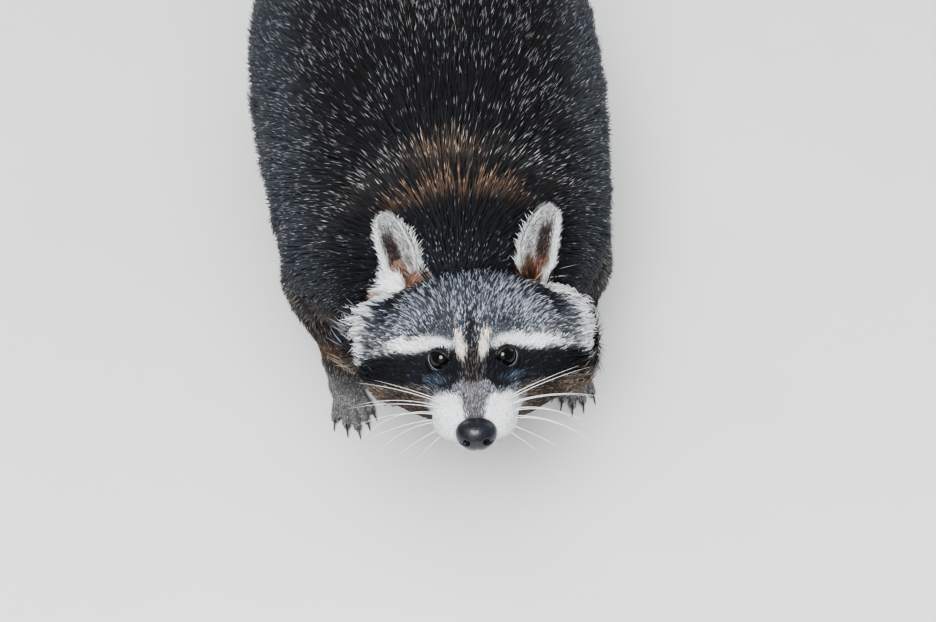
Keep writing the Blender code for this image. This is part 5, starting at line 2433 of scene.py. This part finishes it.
@dataclass(frozen=True)
class HornFinish(Finish):
    """Horn, bristle or bare wet skin: two colours in fine grain, with a gloss of its own.

    Attributes:
        name: The material's name.
        dark: Its darker colour.
        light: Its lighter colour.
        grain: How many grains to a metre.
        roughness: How dull it is, at least and at most.
        relief: How deep the grain is, in millimetres.
        coat: How wet it looks.
    """

    dark: Colour
    light: Colour
    grain: float
    roughness: tuple[float, float]
    relief: float
    coat: float = 0.0

    def paint(self, made: Nodes) -> dict[str, object]:
        """Small cells, clouded between the two colours.

        Args:
            made: The material's tree.

        Returns:
            What feeds each socket of the shader.
        """
        place = made.add("TexCoord").outputs["Object"]
        kind = {"feature": "SMOOTH_F1"}
        cells = made.add("TexVoronoi", kind, Vector=place, Scale=self.grain, Smoothness=0.6)
        gap = cells.outputs["Distance"]
        cloud = made.noise(place, self.grain * 0.22, 3.0)
        share = made.math("MULTIPLY", made.ramp(cloud, 0.3, 0.7), 0.7)
        share = made.math("ADD", share, made.math("MULTIPLY", gap, 0.4))
        height = made.math("SUBTRACT", 1.0, gap)
        bump = made.add("Bump", Height=height, Strength=0.8, Distance=self.relief * MM)
        return {
            "Base Color": made.mix(share, (*self.dark, 1), (*self.light, 1)),
            "Roughness": made.span(cloud, 0.3, 0.7, *self.roughness),
            "Coat Weight": self.coat,
            "Coat Roughness": 0.12,
            "Normal": bump.outputs[0],
        }


@dataclass(frozen=True)
class EyeFinish(Finish):
    """A wet dark eye: pupil, brown iris and dark limb, with a painted reflection as a pale
    bluish-grey ring near its edge.

    Attributes:
        name: The material's name.
        centre: The eyeball's middle, in metres.
        aim: Which way the pupil faces.
        rings: Each ring's start and full reach from the pupil's middle, as shares of the
            eyeball's radius, and its two colours, which the iris's rays mix.
    """

    centre: Vector
    aim: Vector
    rings: tuple[tuple[float, float, Colour, Colour], ...] = (
        (0.35, 0.41, (0.0022, 0.0015, 0.0010), (0.0085, 0.0052, 0.0030)),
        (0.62, 0.68, (0.003, 0.003, 0.004), (0.003, 0.003, 0.004)),
        # Painted reflection: this pale bluish-grey ring stands for the sky mirrored at the
        # eyeball's edge.
        (0.735, 0.78, (0.22, 0.29, 0.37), (0.42, 0.50, 0.58)),
        (0.90, 0.94, (0.01, 0.009, 0.009), (0.01, 0.009, 0.009)),
    )

    def paint(self, made: Nodes) -> dict[str, object]:
        """The eye's rings, from the pupil outwards.

        Args:
            made: The material's tree.

        Returns:
            What feeds each socket of the shader.
        """
        place = made.add("TexCoord").outputs["Object"]
        out = made.vector("NORMALIZE", made.vector("SUBTRACT", place, self.centre))
        facing = made.vector("DOT_PRODUCT", out, self.aim)
        square = made.math("SUBTRACT", 1.0, made.math("MULTIPLY", facing, facing))
        reach = made.math("SQRT", made.math("MAXIMUM", square, 0.0))
        rays = made.noise(out, 16.0, 4.0, 0.7)
        colour = (0.0008, 0.0008, 0.0008, 1)
        for start, full, dark, light in self.rings:
            shown = made.mix(rays, (*dark, 1), (*light, 1))
            colour = made.mix(made.ramp(reach, start, full), colour, shown)
        return {"Base Color": colour, "Roughness": 0.05, "Specular IOR Level": 0.40}


@dataclass(frozen=True)
class FloorFinish(Finish):
    """A plain pale floor, faintly clouded."""

    name: str = "floor_finish"

    def paint(self, made: Nodes) -> dict[str, object]:
        """Two near greys, clouded.

        Args:
            made: The material's tree.

        Returns:
            What feeds each socket of the shader.
        """
        cloud = made.noise(made.add("TexCoord").outputs["Object"], 6.0, 4.0)
        colour = made.mix(cloud, (0.68, 0.665, 0.64, 1), (0.75, 0.735, 0.71, 1))
        return {"Base Color": colour, "Roughness": 0.85}


@dataclass
class Eyes:
    """Both eyeballs, with a swell over the iris, and the wet rims of their lids.

    Attributes:
        anatomy: The animal's sizes.
        skin: Whose opening the rims lie in.
        swell: How far the clear front stands out, in millimetres.
        swell_edge: Where it begins and is full, as cosines of the angle off the aim.
        rim: Half thickness of the lid's rim.
        corner: How much further the rim reaches towards the nose, in radians.
        look: How far the pupils look up and inwards from the openings.
    """

    anatomy: Anatomy
    skin: Skin
    swell: float = 0.15
    swell_edge: tuple[float, float] = (0.68, 0.92)
    rim: float = 0.62
    corner: float = 0.10
    look: tuple[float, float] = (0.34, 0.16)

    def aim(self, side: Side) -> Array:
        """Which way a pupil faces, in the model's frame."""
        up, inwards = self.look
        way = self.anatomy.gaze(side) + np.array((-side.value * inwards, 0, up))
        return unit(self.anatomy.turn_from_head(way))

    def build_ball(self, side: Side) -> Piece:
        """One eyeball.

        Args:
            side: Which eye.

        Returns:
            The piece.
        """
        body = self.anatomy
        centre, aim = Vector(body.from_head(body.eye(side))), Vector(self.aim(side))
        turn = aim.to_track_quat("Z", "Y").to_matrix()
        bm = rounded(body.from_head(body.eye(side)) / MM, (body.eye_radius,) * 3, turn, 64)
        for vert in bm.verts:
            out = (vert.co - centre).normalized()
            swell = float(smooth(*self.swell_edge, out.dot(aim))) * self.swell
            vert.co += out * (swell * MM)
        ball = add_piece(f"eyeball_{side.word}", bm)
        ball.data.materials.append(EyeFinish(f"eye_{side.word}_finish", centre, aim).make())
        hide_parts(f"eye_{side.word}")
        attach(ball, "root")
        return ball

    def build_rim(self, side: Side, finish: Material) -> Piece:
        """The dark wet rim of the lids, drawn to a corner on the nose's side.

        Args:
            side: Which eye.
            finish: Its material.

        Returns:
            The piece.
        """
        body = self.anatomy
        out = body.gaze(side)
        across = unit(np.cross(np.array((0, 0, 1.0)), out)) * -side.value
        up = np.cross(out, across) * side.value
        up = up if up[2] > 0 else -up
        level = (body.eye_radius + self.skin.lid_radius) / 2

        def ring(turn: Array, wrap: Array) -> Array:
            """Points at shares round the opening and round the rim itself.

            Args:
                turn: Shares round the opening.
                wrap: Shares round the rim.

            Returns:
                The points.
            """
            angle, tube = turn * TURN, wrap * TURN
            inner = np.clip(np.cos(angle), 0, 1) ** 8
            reach = self.skin.opening_edge(angle) + self.corner * inner
            rise = up * (np.sin(angle) * (1 - 0.3 * inner))[:, None]
            flat = unit(across * np.cos(angle)[:, None] + rise)
            outer = out * np.cos(reach)[:, None] + flat * np.sin(reach)[:, None]
            tangent = unit(flat - outer * (flat * outer).sum(-1, keepdims=True))
            swing = outer * np.sin(tube)[:, None] + tangent * np.cos(tube)[:, None]
            return body.from_head(body.eye(side) + outer * level + swing * self.rim)

        rim = add_piece(f"lid_rim_{side.word}", wrapped(96, 14, ring))
        rim.data.materials.append(finish)
        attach(rim, "root")
        return rim


@dataclass
class NosePad:
    """The nose leather, narrower below, with nostrils and the slits beside them.

    Attributes:
        anatomy: The animal's sizes.
        halves: Its half sizes, in millimetres.
        taper: How much narrower it is at its foot.
        nostril: A nostril's middle from the pad's, on the left.
        nostril_halves: Its half sizes.
        slit: The middle of the slit beside it, from the nostril's.
        slit_halves: Its half sizes.
        slit_tilt: How far it is tilted, in degrees.
        voxel: How fine the pad is.
    """

    anatomy: Anatomy
    halves: Triple = (13.0, 9.5, 10.4)
    taper: float = 0.28
    nostril: Triple = (6.2, -8.4, -1.8)
    nostril_halves: Triple = (2.2, 5.0, 2.5)
    slit: Triple = (3.4, 1.0, -1.2)
    slit_halves: Triple = (3.6, 3.6, 1.0)
    slit_tilt: float = -18.0
    voxel: float = 0.45

    def build(self, finish: Material) -> Piece:
        """The pad.

        Args:
            finish: Its material.

        Returns:
            The piece.
        """
        body = self.anatomy
        centre, turn = np.array(body.nose_centre), body.head_turn()
        bm = rounded((0, 0, 0), (1, 1, 1), Matrix.Identity(3), 64)
        wide, deep, high = self.halves
        for vert in bm.verts:
            x, y, z = vert.co / MM
            square = 1 + 0.13 * (abs(x * z) * 2)
            narrow = 1 - self.taper * max(-z, 0) - 0.10 * max(z, 0)
            crease = 0.7 * math.exp(-((x / 0.06) ** 2)) * float(smooth(0.05, -0.25, z)) * (y < 0)
            off = np.array((x * wide * square * narrow, y * deep + crease, z * high * square))
            vert.co = body.from_head((centre + off)[None])[0]
        pad = add_piece("nose_pad", bm)
        holes = []
        for side in Side:
            mirror = np.array((side.value, 1, 1))
            hole = centre + np.array(self.nostril) * mirror
            slit = hole + np.array(self.slit) * mirror
            tilt = turn @ Matrix.Rotation(math.radians(self.slit_tilt * side.value), 3, "Y")
            for middle, halves, way in (
                (hole, self.nostril_halves, turn),
                (slit, self.slit_halves, tilt),
            ):
                form = rounded(body.from_head(middle) / MM, halves, way, 24)
                holes.append(add_piece("hole", form))
        join_forms(pad, holes, "DIFFERENCE")
        remesh(pad, self.voxel, 4)
        pad.data.materials.clear()
        pad.data.materials.append(finish)
        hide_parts("nose")
        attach(pad, "root")
        return pad


@dataclass
class Claws:
    """The claws of all four feet, each curved down to its point; in millimetres.

    Attributes:
        anatomy: The animal's sizes.
        root: How much of a claw lies in the toe.
        droop: How fast it curves down.
        lift: How far its root lies over the middle of the toe.
        thick: Its half height at the root, as a share of the toe's radius.
        flat: Its width as a share of its height.
        point: The point's radius.
    """

    anatomy: Anatomy
    root: float = 2.2
    droop: float = 0.055
    lift: float = 1.3
    thick: float = 0.40
    flat: float = 0.62
    point: float = 0.12

    def build_claw(self, plan: FootPlan, start: Array, heading: Array) -> BMesh:
        """One claw.

        Args:
            plan: The foot's sizes.
            start: Where it begins, in the toe.
            heading: Which way the toe points.

        Returns:
            The closed form.
        """
        across = np.cross(heading, np.array((0, 0, 1.0)))

        def place(along: Array, turn: Array) -> Array:
            """Points at shares along the claw and round it.

            Args:
                along: Shares along it.
                turn: Shares round it.

            Returns:
                The points.
            """
            far = along * (plan.claw + self.root)
            drop = self.droop * far**2 * (self.anatomy.forefoot.claw / plan.claw)
            level = plan.toe + self.lift - drop
            thick = plan.toe * self.thick * np.sqrt(np.clip(1 - along, 0.0, 1)) + self.point
            angle = turn * TURN
            point = start + heading * far[:, None]
            point = point + across * (thick * self.flat * np.cos(angle))[:, None]
            point[:, 2] = np.maximum(level + thick * np.sin(angle), 0.1)
            return self.anatomy.from_body(point)

        return wrapped(14, 12, place)

    def build(self, finish: Material) -> Piece:
        """All the claws, as one piece.

        Args:
            finish: Their material.

        Returns:
            The piece.
        """
        body = self.anatomy
        bm = bmesh.new()
        for front in (True, False):
            plan = body.foot(front)
            for side in Side:
                frame = FootFrame.of(body, front, side)
                for start, heading, reach in frame.toe_roots(plan, side):
                    tip = start + heading * (reach - self.root)
                    add_form(bm, self.build_claw(plan, tip, heading))
        claws = add_piece("claws", bm)
        claws.data.materials.append(finish)
        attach(claws, "root")
        return claws


@dataclass
class Whiskers:
    """Stiff white whiskers, fanning from the muzzle's sides, and a few over the eyes.

    Attributes:
        anatomy: The animal's sizes.
        fans: Of each whisker: its root on the left of the muzzle, which way it starts as
            degrees up, how far it bends down by its tip, how far it leans forward, and its
            length.
        brows: Likewise, of those over the eyes.
        radius: At the root.
        brow_share: How thick those over the eyes are beside the others.
        rng: Where the random draws come from.
    """

    anatomy: Anatomy
    fans: Rows = (
        (21, -37, -10, 30, 16, 0.10, 50),
        (22, -36, -12, 27, 24, 0.05, 54),
        (24, -38, -14, 24, 34, 0.15, 55),
        (24, -34, -15, 21, 44, 0.00, 60),
        (26, -39, -18, 18, 52, 0.25, 56),
        (26, -35, -19, 18, 74, 0.10, 62),
        (26, -41, -22, 12, 60, 0.35, 52),
        (27, -36, -23, 4, 40, 0.15, 52),
        (25, -43, -26, -12, 24, 0.45, 34),
        (22, -47, -27, -26, 20, 0.60, 26),
    )
    brows: Rows = ((26, -1, 14, 66, 14, 0.1, 26), (31, 2, 13, 58, 20, 0.0, 20))
    radius: float = 0.27
    brow_share: float = 0.6
    rng: np.random.Generator = field(init=False, repr=False)

    def __post_init__(self) -> None:
        """Start the random draws."""
        self.rng = np.random.default_rng(SEED + 1)

    def build_whisker(self, row: tuple[float, ...], side: Side, thick: float) -> BMesh:
        """One whisker.

        Args:
            row: Its root, start, bend, lean and length.
            side: Which side of the face.
            thick: Its radius at the root.

        Returns:
            The closed form.
        """
        x, y, z, start, bend, lean, length = row
        angle = math.radians(start + self.rng.normal(0, 3))
        droop = math.radians(bend * self.rng.uniform(0.8, 1.25))
        long = length * self.rng.uniform(0.9, 1.08)

        def place(along: Array, turn: Array) -> Array:
            """Points at shares along the whisker and round it.

            Args:
                along: Shares along it.
                turn: Shares round it.

            Returns:
                The points.
            """
            steps = angle - droop * along * 0.5
            out, up = np.cos(steps) * along * long, np.sin(steps) * along * long
            ahead = y - lean * along * long + 6 * along**2
            middle = np.stack((x - 2 + out, ahead, z + up), -1)
            radius = thick * (1 - along**1.5 * 0.88)
            middle[:, 1] += radius * np.cos(turn * TURN)
            middle[:, 2] += radius * np.sin(turn * TURN)
            return self.anatomy.from_head(middle * np.array((side.value, 1, 1)))

        return wrapped(16, 6, place)

    def build(self, finish: Material) -> Piece:
        """All the whiskers, as one piece.

        Args:
            finish: Their material.

        Returns:
            The piece.
        """
        bm = bmesh.new()
        for side in Side:
            for rows, share in ((self.fans, 1.0), (self.brows, self.brow_share)):
                for row in rows:
                    add_form(bm, self.build_whisker(row, side, self.radius * share))
        piece = add_piece("whiskers", bm)
        piece.data.materials.append(finish)
        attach(piece, "root")
        return piece


@dataclass
class Studio:
    """The plain pale floor, the soft lights and the camera.

    Attributes:
        anatomy: The animal's sizes.
        elevation: The camera's, in degrees.
        azimuth: Likewise.
        lens: In millimetres, on a sensor of sensor_width.
        sensor_width: In millimetres.
        distance: From the point midway between the eyes, in metres.
        offset: How far the camera is moved right and up, in metres.
        floor: Half the floor's width, in metres.
        lamps: Name, place, width in metres and power in watts of each light.
        lamp_colour: The lights' colour.
        aim: What the lights point at.
        sky: The world's colour and strength.
        look: How the picture's contrast is set.
    """

    anatomy: Anatomy
    elevation: float = 50.0
    azimuth: float = -6.0
    lens: float = 69.23
    sensor_width: float = 36.0
    distance: float = 1.1787
    offset: tuple[float, float] = (-0.00333, 0.03246)
    floor: float = 6.0
    lamps: tuple[tuple[str, Triple, float, float], ...] = (
        ("sky", (-0.05, -1.10, 2.4), 2.4, 78.0),
        ("window", (-0.46, -1.50, 1.85), 1.0, 42.0),
        ("front", (-0.7, -2.4, 1.2), 1.8, 6.0),
        ("side", (2.2, 0.6, 1.4), 1.8, 16.0),
        ("rear", (-1.4, 2.2, 1.8), 1.8, 24.0),
    )
    lamp_colour: Colour = (0.94, 0.97, 1.0)
    aim: Triple = (0, -0.1, 0.15)
    sky: tuple[Colour, float] = ((0.88, 0.92, 1.0), 0.42)
    look: str = "AgX - Medium High Contrast"

    def build_floor(self) -> None:
        """A wide pale floor."""
        bm = bmesh.new()
        bmesh.ops.create_grid(bm, x_segments=2, y_segments=2, size=self.floor)
        mesh = bpy.data.meshes.new("floor")
        bm.to_mesh(mesh)
        bm.free()
        mesh.materials.append(FloorFinish().make())
        link_new("floor", mesh)

    def build_lights(self) -> None:
        """Soft light from above, a window in front and a fill from behind."""
        for name, place, size, power in self.lamps:
            data = bpy.data.lights.new(name, "AREA")
            data.shape = "DISK"
            data.size = size
            data.energy = power
            data.color = self.lamp_colour
            light = link_new(name, data)
            light.location = place
            light.visible_camera = False
            light.visible_glossy = name != "sky"
            aim = Vector(self.aim) - Vector(place)
            light.rotation_euler = aim.to_track_quat("-Z", "Y").to_euler()
        world = bpy.data.worlds.new("studio")
        world.use_nodes = True
        colour, strength = world.node_tree.nodes["Background"].inputs[:2]
        colour.default_value = (*self.sky[0], 1)
        strength.default_value = self.sky[1]
        bpy.context.scene.world = world
        bpy.context.scene.view_settings.look = self.look

    def build_camera(self) -> None:
        """A camera where the photographer stood."""
        a, e = math.radians(self.azimuth), math.radians(self.elevation)
        back = Vector((math.sin(a) * math.cos(e), -math.cos(a) * math.cos(e), math.sin(e)))
        right = Vector((math.cos(a), math.sin(a), 0))
        up = back.cross(right)
        aimed = Vector(self.anatomy.from_head(np.zeros((1, 3)))[0])
        data = bpy.data.cameras.new("camera")
        data.lens = self.lens
        data.sensor_width = self.sensor_width
        data.clip_end = 50.0
        camera = link_new("camera", data)
        place = Matrix((right, up, back)).transposed().to_4x4()
        across, rise = self.offset
        place.translation = aimed + right * across + up * rise + back * self.distance
        camera.matrix_world = place
        bpy.context.scene.camera = camera


def main() -> None:
    """Build the animal and the studio round it."""
    logging.basicConfig(level=logging.INFO, format="%(message)s")
    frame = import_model()
    anatomy = Anatomy()
    studio = Studio(anatomy)
    studio.build_floor()
    studio.build_lights()
    studio.build_camera()
    plan = Skin(anatomy)
    skin = plan.build()
    short = HairFinish("coat_short", 0.62, (0.40, 0.66, 1.3)).make()
    long = HairFinish("coat_long", 0.60, (0.75, 0.80, 0.87)).make()
    coat = Coat(anatomy, plan, Markings(), short, long)
    coat.dress_skin(skin)
    wet, lid, horn, bristle = (
        HornFinish(*row).make()
        for row in (
            ("nose_leather_finish", (0.0035, 0.0038, 0.0047), (0.010, 0.012, 0.017),
             1500.0, (0.30, 0.42), 0.10, 0.15),
            ("lid_rim_finish", (0.004, 0.004, 0.0045), (0.012, 0.011, 0.011),
             1800.0, (0.25, 0.4), 0.05, 0.3),
            ("claw_horn", (0.012, 0.010, 0.009), (0.055, 0.044, 0.036),
             700.0, (0.28, 0.42), 0.04),
            ("whisker_bristle", (0.62, 0.62, 0.60), (0.86, 0.86, 0.84),
             500.0, (0.35, 0.5), 0.01),
        )
    )
    pieces = [skin]
    eyes = Eyes(anatomy, plan)
    for side in Side:
        pieces += [eyes.build_ball(side), eyes.build_rim(side, lid)]
    pieces.append(NosePad(anatomy).build(wet))
    pieces.append(Claws(anatomy).build(horn))
    pieces.append(Whiskers(anatomy).build(bristle))
    pieces += coat.build(skin)
    for piece in pieces:
        log.info("%s: %d faces", piece.name, len(piece.data.polygons))
    log.info("built round %d solids", len(frame["nodes"]))


if __name__ == "__main__":
    main()
